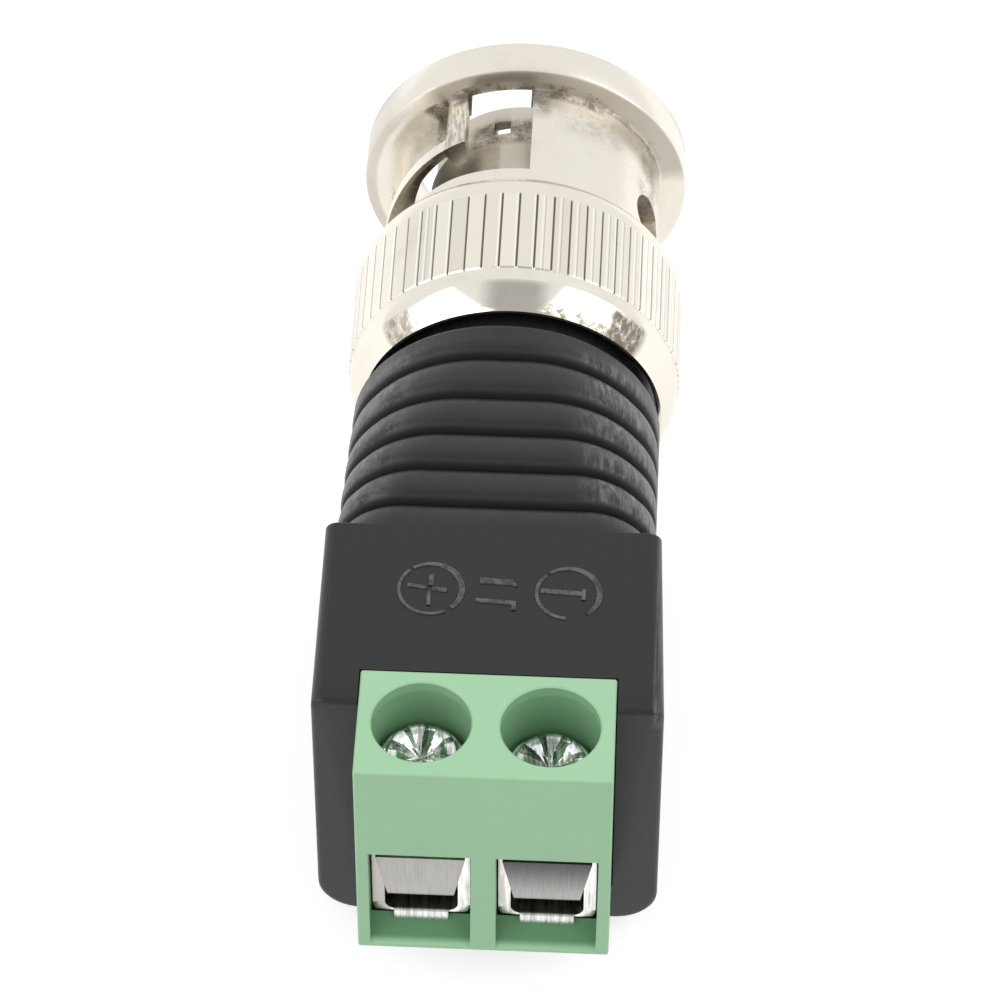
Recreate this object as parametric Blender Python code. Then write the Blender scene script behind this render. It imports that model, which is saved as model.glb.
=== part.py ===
# A two pole screw terminal joined to a coaxial bayonet plug, lying on its coupling nut.
# The plug's axis runs along Y, from the terminal block's front face to the mating mouth.
# All sizes are real ones, in metres. Run it in Blender to build the model.

import math

import bmesh
import bpy
from mathutils import Vector

MM = 0.001

# Terminal block: a green moulding with one well and one wire opening for each pole
POLE_PITCH = 5.08 * MM
POLE_WALL = 1.01 * MM
BLOCK_PROUD = 3.55 * MM
BLOCK_TOP_DEPTH = 5.19 * MM
BLOCK_BACK_WALL = 2.55 * MM
BLOCK_TOP = 7.34 * MM
BLOCK_BOTTOM = -4.13 * MM
BLOCK_EDGE = 0.12 * MM
WELL_RADIUS = 1.98 * MM
WELL_CHAMFER = 0.08 * MM
SCREW_SETBACK = 2.66 * MM
OPENING_TOP = 2.08 * MM
OPENING_SILL = 0.33 * MM
FUNNEL_RISE = 0.50 * MM
FRONT_WALL = 0.45 * MM
CAVITY_BACK_GAP = 0.60 * MM

# Clamp: a folded cage, a contact strip in its floor, a sprung wire guard and a screw
CAGE_GAP = 0.06 * MM
CAGE_DEPTH = 3.40 * MM
CAGE_SHEET = 0.50 * MM
CAGE_TOP_SHEET = 0.90 * MM
CAGE_BEND = 0.95 * MM
SEAT_GAP = 0.03 * MM
STRIP_WIDTH = 2.20 * MM
STRIP_SHEET = 0.25 * MM
STRIP_OVERHANG = 0.28 * MM
STRIP_LIP = 0.70 * MM
LEG_WIDTH = 1.00 * MM
LEG_PROUD = 1.50 * MM
LEG_SLOT_GAP = 0.10 * MM
GUARD_SHEET = 0.25 * MM
GUARD_DROP = 1.00 * MM
GUARD_SIDE_GAP = 0.15 * MM
GUARD_FRONT_GAP = 0.10 * MM
GUARD_BACK_GAP = 0.10 * MM
LIP_HEADROOM = 1.00 * MM
LIP_SIDE_GAP = 0.235 * MM
SCREW_HEAD_GAP = 0.23 * MM
SCREW_HEAD_HEIGHT = 1.60 * MM
SCREW_HEAD_DEPTH = 2.29 * MM
SCREW_RADIUS = 1.45 * MM
SCREW_HOLE_GAP = 0.10 * MM
SCREW_EDGE = 0.25 * MM
SLOT_WIDTH = 0.50 * MM
SLOT_DEPTH = 0.70 * MM

# Suspension of the nut: gaps and thicknesses from its rear end forward
NUT_TRAVEL = 1.20 * MM
STOP_GAP = 0.05 * MM
RUNNING_GAP = 0.10 * MM
RING_SETBACK = 0.95 * MM
RING_THICKNESS = 0.50 * MM
RING_GROOVE_DEPTH = 0.35 * MM
RING_SIDE_GAP = 0.45 * MM
RING_OPENING = math.radians(50)
THRUST_THICKNESS = 0.35 * MM
WAVE_THICKNESS = 0.25 * MM
WAVE_COUNT = 3
BODY_FLANGE_THICKNESS = 0.90 * MM

# Plug body and contacts, from the outer contact outwards and inwards
CONTACT_RADIUS = 4.20 * MM
CONTACT_WALL = 0.70 * MM
CONTACT_RECESS = 0.95 * MM
CONTACT_SEAT = 2.80 * MM
CONTACT_EDGE = 0.12 * MM
SPIGOT_LENGTH = 1.69 * MM
SPIGOT_STEP = 0.20 * MM
VENT_WIDTH = 0.75 * MM
VENT_LENGTH = 0.75 * MM
VENT_SETBACK = 0.20 * MM
VENT_COUNT = 4
VENT_ANGLE = math.radians(105)
BODY_WALL = 0.60 * MM
STEM_STEP = 0.45 * MM
STEM_GAP = 0.05 * MM
STEM_LENGTH = 8.20 * MM
GASKET_THICKNESS = 0.60 * MM
DIELECTRIC_RECESS = 3.60 * MM
DIELECTRIC_NOSE = 5.50 * MM
PIN_RADIUS = 0.685 * MM
PIN_RECESS = 3.20 * MM
PIN_CUP_WALL = 0.265 * MM
PIN_CUP_LENGTH = 2.00 * MM
LEAD_RADIUS = 0.45 * MM
LEAD_GAP = 0.25 * MM

# Coupling nut: knurled grip, thin neck with two cam slots, and a front flange
NUT_GAP = 1.00 * MM
NUT_LENGTH = 15.54 * MM
SOCKET_SPACE = 0.75 * MM
NECK_WALL = 1.15 * MM
FLANGE_PROUD = 0.21 * MM
FLANGE_THICKNESS = 1.83 * MM
FLANGE_EDGE = 0.24 * MM
KNURL_RIBS = 60
KNURL_WALL = 0.94 * MM
KNURL_START = 1.88 * MM
KNURL_LENGTH = 4.45 * MM
KNURL_GROOVE_DEPTH = 0.20 * MM
KNURL_GROOVE_WIDTH = 0.24 * MM
REAR_ROUND_DROP = 0.24 * MM
REAR_ROUND_LENGTH = 1.18 * MM
COLLAR_LAND = 0.40 * MM
COLLAR_LENGTH = 1.45 * MM
COLLAR_STEP = 0.35 * MM
MOUTH_CHAMFER = 0.30 * MM
STUD_SLOT_WIDTH = 2.10 * MM
STUD_GROOVE_DEPTH = 0.70 * MM
WINDOW_LENGTH = 4.91 * MM
ENTRY_ANGLE = math.radians(99)
WINDOW_ANGLE = math.radians(24)
POST_ANGLE = math.radians(9.5)
CAM_END_ANGLE = math.radians(190)
DETENT_ANGLE = math.radians(203)
CAM_DROP = 2.00 * MM
CAM_EASE = 1.6
DETENT_RISE = 1.70 * MM
DETENT_RADIUS = 1.15 * MM
CAM_STRIP = 0.60 * MM
POCKET_DEPTH = 0.60 * MM

# Housing: a black moulding, a square box that turns round along a ribbed grip
POCKET_GAP = 0.05 * MM
ROOF = 1.05 * MM
BOX_LENGTH = 9.31 * MM
BOX_WALL = 1.85 * MM
BOX_FLOOR = 2.25 * MM
BOX_TAPER = 0.15 * MM
BOX_TOP_RADIUS = 0.50 * MM
BOX_BOTTOM_RADIUS = 1.70 * MM
BOX_EDGE = 0.25 * MM
GRIP_LENGTH = 11.74 * MM
GRIP_COLLAR = 0.67 * MM
GRIP_STEP = 0.22 * MM
GRIP_START_RADIUS = 2.40 * MM
GRIP_END_FLAT = 0.10 * MM
GROOVE_COUNT = 5
GROOVE_PITCH = 2.06 * MM
GROOVE_START = 1.34 * MM
GROOVE_DEPTH = 0.36 * MM
NECK_SIDE_GAP = 0.40 * MM
NECK_END_GAP = 0.45 * MM
CHAMBER_HALF_WIDTH = 4.60 * MM
CHAMBER_TOP = 4.40 * MM

# Smoothness of round forms
ROUND_STEPS = 52
SMALL_ROUND_STEPS = 24
WELL_STEPS = 32
DETENT_STEPS = 18
RING_STEPS = 40
CAM_STEPS = 16
POCKET_STEPS = 10
WINDOW_STEPS = 4
LEAD_STEPS = 12
CORNER_STEPS = 8
SHARP_ANGLE = math.radians(35)
CUT_MARGIN = 0.60 * MM
MERGE_DISTANCE = 1e-7

# Terminal block and clamps, worked out from the sizes above
BLOCK_WIDTH = 2 * POLE_PITCH
OPENING_WIDTH = POLE_PITCH - POLE_WALL
CAGE_FRONT = SCREW_SETBACK - CAGE_DEPTH / 2
CAGE_BACK = CAGE_FRONT + CAGE_DEPTH
FUNNEL_DEPTH = CAGE_FRONT - CAGE_GAP
CAVITY_DEPTH = CAGE_BACK + CAVITY_BACK_GAP
BLOCK_DEPTH = CAVITY_DEPTH + BLOCK_BACK_WALL
CAVITY_TOP = OPENING_TOP + 2 * CAGE_GAP
CAVITY_FLOOR = BLOCK_BOTTOM + OPENING_SILL + FUNNEL_RISE
CAGE_WIDTH = OPENING_WIDTH - 2 * CAGE_GAP
CAGE_FLOOR = CAVITY_FLOOR + CAGE_GAP
CAGE_TOP = CAVITY_TOP - CAGE_GAP
STRIP_TOP = CAGE_FLOOR + CAGE_SHEET + SEAT_GAP + STRIP_SHEET
GUARD_FLOOR = STRIP_TOP + GUARD_DROP + STOP_GAP
GUARD_TOP = GUARD_FLOOR + GUARD_SHEET
GUARD_FRONT = FRONT_WALL + GUARD_FRONT_GAP
GUARD_WIDTH = CAGE_WIDTH - 2 * CAGE_SHEET - 2 * GUARD_SIDE_GAP
LEG_END = BLOCK_DEPTH + LEG_PROUD

# Outline of the box, which the nut's flange stands proud of
BOX_HALF_WIDTH = BLOCK_WIDTH / 2 + POCKET_GAP + BOX_WALL
BOX_BOTTOM = BLOCK_BOTTOM - POCKET_GAP - BOX_FLOOR
FLANGE_RADIUS = BOX_HALF_WIDTH + FLANGE_PROUD
KNURL_RADIUS = FLANGE_RADIUS
AXIS_HEIGHT = max(FLANGE_RADIUS, -BOX_BOTTOM)

# Radii of the plug and the nut
CONTACT_BORE = CONTACT_RADIUS - CONTACT_WALL
BODY_RADIUS = CONTACT_RADIUS + STOP_GAP + BODY_WALL
STEM_RADIUS = BODY_RADIUS - STEM_STEP
NUT_BORE = CONTACT_RADIUS + SOCKET_SPACE
SLEEVE_RADIUS = NUT_BORE + NECK_WALL
NUT_CHAMBER = KNURL_RADIUS - KNURL_WALL
RING_GROOVE_RADIUS = NUT_CHAMBER + RING_GROOVE_DEPTH
BODY_FLANGE_RADIUS = NUT_CHAMBER - RUNNING_GAP
NECK_RADIUS = NUT_CHAMBER - NECK_SIDE_GAP
GRIP_HALF_WIDTH = NECK_RADIUS + GRIP_COLLAR

# Places along the axis
HOUSING_FRONT = BLOCK_PROUD
BOX_END = HOUSING_FRONT + BOX_LENGTH
GRIP_END = BOX_END + GRIP_LENGTH
NUT_REAR = GRIP_END + NUT_GAP
RING_REAR = NUT_REAR + RING_SETBACK
RING_FRONT = RING_REAR + RING_THICKNESS
NECK_END = RING_REAR - NECK_END_GAP
THRUST_REAR = RING_FRONT + STOP_GAP
WAVE_REAR = THRUST_REAR + THRUST_THICKNESS + STOP_GAP
WAVE_FRONT = WAVE_REAR + NUT_TRAVEL + WAVE_THICKNESS
BODY_FLANGE_REAR = WAVE_FRONT + STOP_GAP
BODY_FLANGE_FRONT = BODY_FLANGE_REAR + BODY_FLANGE_THICKNESS
CHAMBER_FRONT_WALL = BODY_FLANGE_FRONT + STOP_GAP
KNURL_END = NUT_REAR + KNURL_START + KNURL_LENGTH
COLLAR_END = KNURL_END + COLLAR_LENGTH
MOUTH = NUT_REAR + NUT_LENGTH
FLANGE_REAR = MOUTH - FLANGE_THICKNESS
CAM_START = FLANGE_REAR - WINDOW_LENGTH + STUD_SLOT_WIDTH / 2
CHAMBER_END = GRIP_END - STEM_LENGTH
STEM_REAR = CHAMBER_END + STOP_GAP
CONTACT_FRONT = MOUTH - CONTACT_RECESS
CONTACT_REAR = BODY_FLANGE_FRONT - CONTACT_SEAT
SPIGOT_REAR = CONTACT_FRONT - SPIGOT_LENGTH
PIN_FRONT = MOUTH - PIN_RECESS
PIN_REAR = STEM_REAR - PIN_CUP_LENGTH

BLACK = (0.040, 0.041, 0.044)
GREEN = (0.38, 0.68, 0.41)
NICKEL = (0.74, 0.71, 0.64)
TIN = (0.72, 0.71, 0.68)
ZINC = (0.80, 0.82, 0.82)
STEEL = (0.55, 0.55, 0.54)
GOLD = (0.83, 0.62, 0.27)
WHITE = (0.88, 0.88, 0.85)
RED = (0.45, 0.04, 0.03)
SILICONE = (0.55, 0.16, 0.10)


def clear_scene():
    for thing in list(bpy.data.objects):
        bpy.data.objects.remove(thing, do_unlink=True)


def make_datum():
    # The empty stands on the plug's axis, level with the terminal block's front face
    datum = bpy.data.objects.new("datum", None)
    datum.location = (0, -MOUTH / 2, AXIS_HEIGHT)
    bpy.context.collection.objects.link(datum)
    return datum


def make_material(name, colour, roughness, metallic):
    material = bpy.data.materials.new(name)
    material.use_nodes = True
    shader = material.node_tree.nodes["Principled BSDF"]
    shader.inputs["Base Color"].default_value = (*colour, 1)
    shader.inputs["Roughness"].default_value = roughness
    shader.inputs["Metallic"].default_value = metallic
    return material


def place(name, form, origin=(0, 0, 0)):
    # Turns a bmesh drawn about the datum into an object whose origin is at the given place
    bmesh.ops.remove_doubles(form, verts=form.verts, dist=MERGE_DISTANCE)
    bmesh.ops.recalc_face_normals(form, faces=form.faces)
    bmesh.ops.translate(form, verts=form.verts, vec=-Vector(origin))
    mesh = bpy.data.meshes.new(name)
    form.to_mesh(mesh)
    form.free()
    mesh.shade_smooth()
    mesh.set_sharp_from_angle(angle=SHARP_ANGLE)
    thing = bpy.data.objects.new(name, mesh)
    thing.location = origin
    thing.parent = bpy.data.objects["datum"]
    bpy.context.collection.objects.link(thing)
    return thing


def make_piece(name, form, finish, origin=(0, 0, 0)):
    thing = place(name, form, origin)
    thing.data.materials.append(make_material(name, *finish))
    return thing


def cut(thing, name, form):
    cutter = place(thing.name + "_" + name, form)
    cutter.hide_render = True
    cutter.display_type = "WIRE"
    step = thing.modifiers.new(name, "BOOLEAN")
    step.operation = "DIFFERENCE"
    step.solver = "EXACT"
    step.object = cutter


def round_edges(thing, width, segments=2):
    step = thing.modifiers.new("edges", "BEVEL")
    step.width = width
    step.segments = segments
    step.limit_method = "ANGLE"
    step.angle_limit = math.radians(40)
    step.use_clamp_overlap = True


def loft(rings, closed=False):
    # Skins rings of equal length, with a cap on both ends unless the last meets the first
    form = bmesh.new()
    rows = [[form.verts.new(point) for point in ring] for ring in rings]
    pairs = list(zip(rows, rows[1:]))
    if closed:
        pairs.append((rows[-1], rows[0]))
    for row, following in pairs:
        for here, corner in enumerate(row):
            onward = (here + 1) % len(row)
            form.faces.new((corner, row[onward], following[onward], following[here]))
    if not closed:
        form.faces.new(rows[0])
        form.faces.new(rows[-1])
    return form


def extrude_across(outline, half_width, middle=0.0):
    # Draws an outline of (y, z) points and extrudes it along X, the same to both sides
    sides = (middle - half_width, middle + half_width)
    return loft([[Vector((x, y, z)) for y, z in outline] for x in sides])


def extrude_along(outline, start, end):
    # Draws an outline of (x, z) points and extrudes it along Y
    return loft([[Vector((x, y, z)) for x, z in outline] for y in (start, end)])


def box(x_span, y_span, z_span):
    left, right = x_span
    low, high = z_span
    return extrude_along([(left, low), (right, low), (right, high), (left, high)], *y_span)


def turn(profile, steps, closed=True, upright=False, middle=(0, 0, 0)):
    # Spins a profile of (distance along the axis, radius) points round the Y or the Z axis
    form = bmesh.new()
    places = [Vector((r, 0, a)) if upright else Vector((r, a, 0)) for a, r in profile]
    corners = [form.verts.new(point) for point in places]
    lines = [form.edges.new(pair) for pair in zip(corners, corners[1:])]
    if closed:
        lines.append(form.edges.new((corners[-1], corners[0])))
    axis = (0, 0, 1) if upright else (0, 1, 0)
    bmesh.ops.spin(
        form, geom=corners + lines, cent=(0, 0, 0), axis=axis, dvec=(0, 0, 0),
        angle=math.tau, steps=steps, use_merge=True, use_duplicate=False,
    )
    bmesh.ops.translate(form, verts=form.verts, vec=middle)
    return form


def on_axis(angle, radius, along):
    return Vector((radius * math.cos(angle), along, radius * math.sin(angle)))


def sector(stations, inner, outer):
    # A curved bar round the axis, from (angle, rear, front) stations
    rings = []
    for angle, rear, front in stations:
        edges = ((inner, rear), (outer, rear), (outer, front), (inner, front))
        rings.append([on_axis(angle, radius, along) for radius, along in edges])
    return loft(rings)


def spread(start, end, count):
    return [start + (end - start) * step / count for step in range(count + 1)]


def arc(middle, radius, start, end, steps=CORNER_STEPS):
    return [
        (middle[0] + radius * math.cos(angle), middle[1] + radius * math.sin(angle))
        for angle in spread(start, end, steps)
    ]


def rounded_outline(half_width, top, bottom, top_radius, bottom_radius, steps=CORNER_STEPS):
    # Corner arcs in turn: top right, top left, bottom left, bottom right
    quarter = math.pi / 2
    across_top = half_width - top_radius
    across_bottom = half_width - bottom_radius
    outline = arc((across_top, top - top_radius), top_radius, 0, quarter, steps)
    outline += arc((-across_top, top - top_radius), top_radius, quarter, 2 * quarter, steps)
    low = bottom + bottom_radius
    outline += arc((-across_bottom, low), bottom_radius, 2 * quarter, 3 * quarter, steps)
    outline += arc((across_bottom, low), bottom_radius, 3 * quarter, 4 * quarter, steps)
    return outline


def box_ring(along, inset=0.0):
    share = (along - HOUSING_FRONT) / BOX_LENGTH
    half_width = BOX_HALF_WIDTH - BOX_TAPER * share - inset
    outline = rounded_outline(
        half_width, BLOCK_TOP - inset, BOX_BOTTOM + inset, BOX_TOP_RADIUS, BOX_BOTTOM_RADIUS
    )
    return [Vector((x, along, z)) for x, z in outline]


def grip_ring(along, inset=0.0):
    # The section turns from a square with soft corners into a circle along the grip
    share = min(1.0, (along - BOX_END) / GRIP_LENGTH)
    end_radius = GRIP_HALF_WIDTH - GRIP_END_FLAT
    radius = GRIP_START_RADIUS + (end_radius - GRIP_START_RADIUS) * share
    top = (BLOCK_TOP - GRIP_STEP) * (1 - share) + GRIP_HALF_WIDTH * share
    bottom = (BOX_BOTTOM + GRIP_STEP / 2) * (1 - share) - GRIP_HALF_WIDTH * share
    outline = rounded_outline(
        GRIP_HALF_WIDTH - inset, top - inset, bottom + inset, radius - inset, radius - inset
    )
    return [Vector((x, along, z)) for x, z in outline]


def housing_rings():
    rings = [box_ring(HOUSING_FRONT, BOX_EDGE), box_ring(HOUSING_FRONT + BOX_EDGE)]
    rings.append(box_ring(BOX_END))
    rings.append(grip_ring(BOX_END + GRIP_STEP))
    for number in range(GROOVE_COUNT):
        middle = BOX_END + GROOVE_START + number * GROOVE_PITCH
        for share in (-1.0, -0.6, -0.3, 0.0, 0.3, 0.6):
            depth = GROOVE_DEPTH * (1 - abs(share)) ** 2
            rings.append(grip_ring(middle + share * GROOVE_PITCH / 2, depth))
    rings.append(grip_ring(middle + GROOVE_PITCH / 2))
    rings.append(grip_ring(GRIP_END - BOX_EDGE))
    rings.append(grip_ring(GRIP_END, BOX_EDGE))
    shrink = GRIP_HALF_WIDTH - NECK_RADIUS
    for along in (GRIP_END, NECK_END):
        neck = grip_ring(GRIP_END, shrink)
        rings.append([Vector((point.x, along, point.z)) for point in neck])
    return rings


def make_housing():
    housing = make_piece("housing", loft(housing_rings()), (BLACK, 0.5, 0.0))
    roof_bottom = BLOCK_TOP - ROOF
    side = BLOCK_WIDTH / 2 + POCKET_GAP
    floor = BLOCK_BOTTOM - POCKET_GAP
    front = HOUSING_FRONT - CUT_MARGIN
    top_back = BLOCK_TOP_DEPTH + POCKET_GAP
    back = BLOCK_DEPTH + POCKET_GAP
    over = BLOCK_TOP + CUT_MARGIN
    pocket = [(front, floor), (back, floor), (back, roof_bottom)]
    pocket += [(top_back, roof_bottom), (top_back, over), (front, over)]
    cut(housing, "pocket", extrude_across(pocket, side))
    chamber = rounded_outline(
        CHAMBER_HALF_WIDTH, CHAMBER_TOP, BLOCK_BOTTOM, BOX_TOP_RADIUS, BOX_TOP_RADIUS, 3
    )
    cut(housing, "chamber", extrude_along(chamber, back - CUT_MARGIN, CHAMBER_END))
    radius = STEM_RADIUS + STEM_GAP
    ends = (CHAMBER_END - CUT_MARGIN, NECK_END + CUT_MARGIN)
    bore = [(ends[0], 0), (ends[0], radius), (ends[1], radius), (ends[1], 0)]
    cut(housing, "bore", turn(bore, ROUND_STEPS, closed=False))


def make_block():
    shoulder = BLOCK_TOP - ROOF - POCKET_GAP
    outline = [(0, BLOCK_BOTTOM), (BLOCK_DEPTH, BLOCK_BOTTOM), (BLOCK_DEPTH, shoulder)]
    outline += [(BLOCK_TOP_DEPTH, shoulder), (BLOCK_TOP_DEPTH, BLOCK_TOP), (0, BLOCK_TOP)]
    block = make_piece("terminal_block", extrude_across(outline, BLOCK_WIDTH / 2), (GREEN, 0.4, 0))
    round_edges(block, BLOCK_EDGE)
    sill = BLOCK_BOTTOM + OPENING_SILL
    slope = FUNNEL_RISE / FUNNEL_DEPTH
    cavity = [(-CUT_MARGIN, sill - CUT_MARGIN * slope), (FUNNEL_DEPTH, CAVITY_FLOOR)]
    cavity += [(CAVITY_DEPTH, CAVITY_FLOOR), (CAVITY_DEPTH, CAVITY_TOP)]
    cavity += [(FRONT_WALL, CAVITY_TOP), (FRONT_WALL, OPENING_TOP), (-CUT_MARGIN, OPENING_TOP)]
    over = BLOCK_TOP + CUT_MARGIN
    flare = WELL_RADIUS + WELL_CHAMFER + CUT_MARGIN
    well = [(CAVITY_TOP - CUT_MARGIN, 0), (CAVITY_TOP - CUT_MARGIN, WELL_RADIUS)]
    well += [(BLOCK_TOP - WELL_CHAMFER, WELL_RADIUS), (over, flare), (over, 0)]
    strip_floor = STRIP_TOP - STRIP_SHEET
    slot_height = (strip_floor - LEG_SLOT_GAP, STRIP_TOP + LEG_SLOT_GAP)
    for pole, x in pole_places():
        cut(block, "cavity_" + pole, extrude_across(cavity, OPENING_WIDTH / 2, x))
        spot = (x, SCREW_SETBACK, 0)
        cut(block, "well_" + pole, turn(well, WELL_STEPS, closed=False, upright=True, middle=spot))
        half = LEG_WIDTH / 2 + LEG_SLOT_GAP
        run = (CAVITY_DEPTH - CUT_MARGIN, BLOCK_DEPTH + CUT_MARGIN)
        cut(block, "leg_slot_" + pole, box((x - half, x + half), run, slot_height))


def pole_places():
    return (("plus", -POLE_PITCH / 2), ("minus", POLE_PITCH / 2))


def make_cage(pole, x):
    # A folded tube of strip, doubled at the top where the screw is threaded
    bend = CAGE_BEND - CAGE_SHEET
    outer = rounded_outline(CAGE_WIDTH / 2, CAGE_TOP, CAGE_FLOOR, bend, CAGE_BEND, 4)
    inner = rounded_outline(
        CAGE_WIDTH / 2 - CAGE_SHEET, CAGE_TOP - CAGE_TOP_SHEET, CAGE_FLOOR + CAGE_SHEET,
        bend / 2, bend, 4,
    )
    span = (CAGE_FRONT, CAGE_BACK)
    rings = []
    for outline, order in ((outer, span), (inner, span[::-1])):
        for along in order:
            rings.append([Vector((x + across, along, up)) for across, up in outline])
    cage = make_piece("clamp_frame_" + pole, loft(rings, closed=True), (TIN, 0.3, 1.0))
    radius = SCREW_RADIUS + SCREW_HOLE_GAP
    low = CAGE_TOP - CAGE_TOP_SHEET - CUT_MARGIN
    high = CAGE_TOP + CUT_MARGIN
    hole = [(low, 0), (low, radius), (high, radius), (high, 0)]
    spot = (x, SCREW_SETBACK, 0)
    drill = turn(hole, SMALL_ROUND_STEPS, closed=False, upright=True, middle=spot)
    cut(cage, "thread_hole", drill)


def make_strip(pole, x):
    # The strip lies on the cage's floor, turns down in front of it and ends in a leg
    front = CAGE_FRONT - STRIP_OVERHANG
    floor = STRIP_TOP - STRIP_SHEET
    lip_back = front + STRIP_SHEET
    wide_end = CAGE_BACK + CAGE_GAP
    tip = STRIP_TOP - STRIP_LIP
    outline = [(front, tip), (lip_back, tip), (lip_back, floor), (wide_end, floor)]
    outline += [(wide_end, STRIP_TOP), (front, STRIP_TOP)]
    strip = make_piece(
        "contact_strip_" + pole, extrude_across(outline, STRIP_WIDTH / 2, x), (TIN, 0.35, 1.0)
    )
    half = LEG_WIDTH / 2
    leg = box((x - half, x + half), (wide_end - STRIP_SHEET, LEG_END), (floor, STRIP_TOP))
    join(strip, "leg", leg)


def join(thing, name, form):
    addition = place(thing.name + "_" + name, form)
    addition.hide_render = True
    addition.display_type = "WIRE"
    step = thing.modifiers.new(name, "BOOLEAN")
    step.operation = "UNION"
    step.solver = "EXACT"
    step.object = addition


def make_guard(pole, x):
    # A flat leaf under the screw's tip with a lip turned up that widens towards its top
    lip_top = CAVITY_TOP - LIP_HEADROOM
    back = CAGE_BACK - GUARD_BACK_GAP
    inside = GUARD_FRONT + GUARD_SHEET
    narrow = GUARD_WIDTH / 2
    wide = OPENING_WIDTH / 2 - LIP_SIDE_GAP
    sheet = [(GUARD_FRONT, GUARD_FLOOR, narrow), (back, GUARD_FLOOR, narrow)]
    sheet += [(back, GUARD_TOP, narrow), (inside, GUARD_TOP, narrow)]
    sheet += [(inside, lip_top, wide), (GUARD_FRONT, lip_top, wide)]
    rings = [[Vector((x + side * half, y, z)) for y, z, half in sheet] for side in (-1, 1)]
    origin = (x, SCREW_SETBACK, GUARD_TOP)
    make_piece("wire_guard_" + pole, loft(rings), (STEEL, 0.35, 1.0), origin)


def make_screw(pole, x):
    head_top = BLOCK_TOP - SCREW_HEAD_DEPTH
    head_low = head_top - SCREW_HEAD_HEIGHT
    tip = GUARD_TOP + STOP_GAP
    head_radius = WELL_RADIUS - SCREW_HEAD_GAP
    profile = [(tip, 0), (tip, SCREW_RADIUS - SCREW_EDGE), (tip + SCREW_EDGE, SCREW_RADIUS)]
    profile += [(head_low, SCREW_RADIUS), (head_low, head_radius)]
    profile += [(head_top - SCREW_EDGE, head_radius)]
    profile += [(head_top, head_radius - SCREW_EDGE), (head_top, 0)]
    spot = (x, SCREW_SETBACK, 0)
    form = turn(profile, SMALL_ROUND_STEPS, closed=False, upright=True, middle=spot)
    origin = (x, SCREW_SETBACK, head_low)
    screw = make_piece("terminal_screw_" + pole, form, (ZINC, 0.25, 1.0), origin)
    reach = head_radius + CUT_MARGIN
    half = SLOT_WIDTH / 2
    across = (x - reach, x + reach)
    along = (SCREW_SETBACK - half, SCREW_SETBACK + half)
    cut(screw, "slot", box(across, along, (head_top - SLOT_DEPTH, head_top + CUT_MARGIN)))


def nut_profile():
    rear_round = [
        (NUT_REAR + REAR_ROUND_LENGTH * (1 - math.cos(angle)),
         KNURL_RADIUS - REAR_ROUND_DROP * (1 - math.sin(angle)))
        for angle in spread(0, math.pi / 2, 4)
    ]
    land_end = KNURL_END + COLLAR_LAND
    collar_front = SLEEVE_RADIUS + COLLAR_STEP
    outside = [
        (land_end + (COLLAR_END - land_end) * math.sin(angle),
         collar_front + (KNURL_RADIUS - collar_front) * math.cos(angle))
        for angle in spread(0, math.pi / 2, 4)
    ]
    outside += [(COLLAR_END, SLEEVE_RADIUS)]
    outside += [(FLANGE_REAR, SLEEVE_RADIUS), (FLANGE_REAR, FLANGE_RADIUS - FLANGE_EDGE)]
    outside += [(FLANGE_REAR + FLANGE_EDGE, FLANGE_RADIUS), (MOUTH - FLANGE_EDGE, FLANGE_RADIUS)]
    outside += [(MOUTH, FLANGE_RADIUS - FLANGE_EDGE)]
    inside = [(MOUTH, NUT_BORE + MOUTH_CHAMFER), (MOUTH - MOUTH_CHAMFER, NUT_BORE)]
    inside += [(CHAMBER_FRONT_WALL, NUT_BORE), (CHAMBER_FRONT_WALL, NUT_CHAMBER)]
    inside += [(RING_FRONT + STOP_GAP, NUT_CHAMBER), (RING_FRONT + STOP_GAP, RING_GROOVE_RADIUS)]
    inside += [(RING_REAR - STOP_GAP, RING_GROOVE_RADIUS), (RING_REAR - STOP_GAP, NUT_CHAMBER)]
    inside += [(NUT_REAR, NUT_CHAMBER)]
    return rear_round + outside + inside


def cam_middle(angle):
    # Axial place of the stud's centre: level in the window, then falling along the cam
    start = ENTRY_ANGLE + WINDOW_ANGLE / 2
    share = max(0.0, min(1.0, (angle - start) / (CAM_END_ANGLE - start)))
    return CAM_START - CAM_DROP * share ** CAM_EASE


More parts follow.
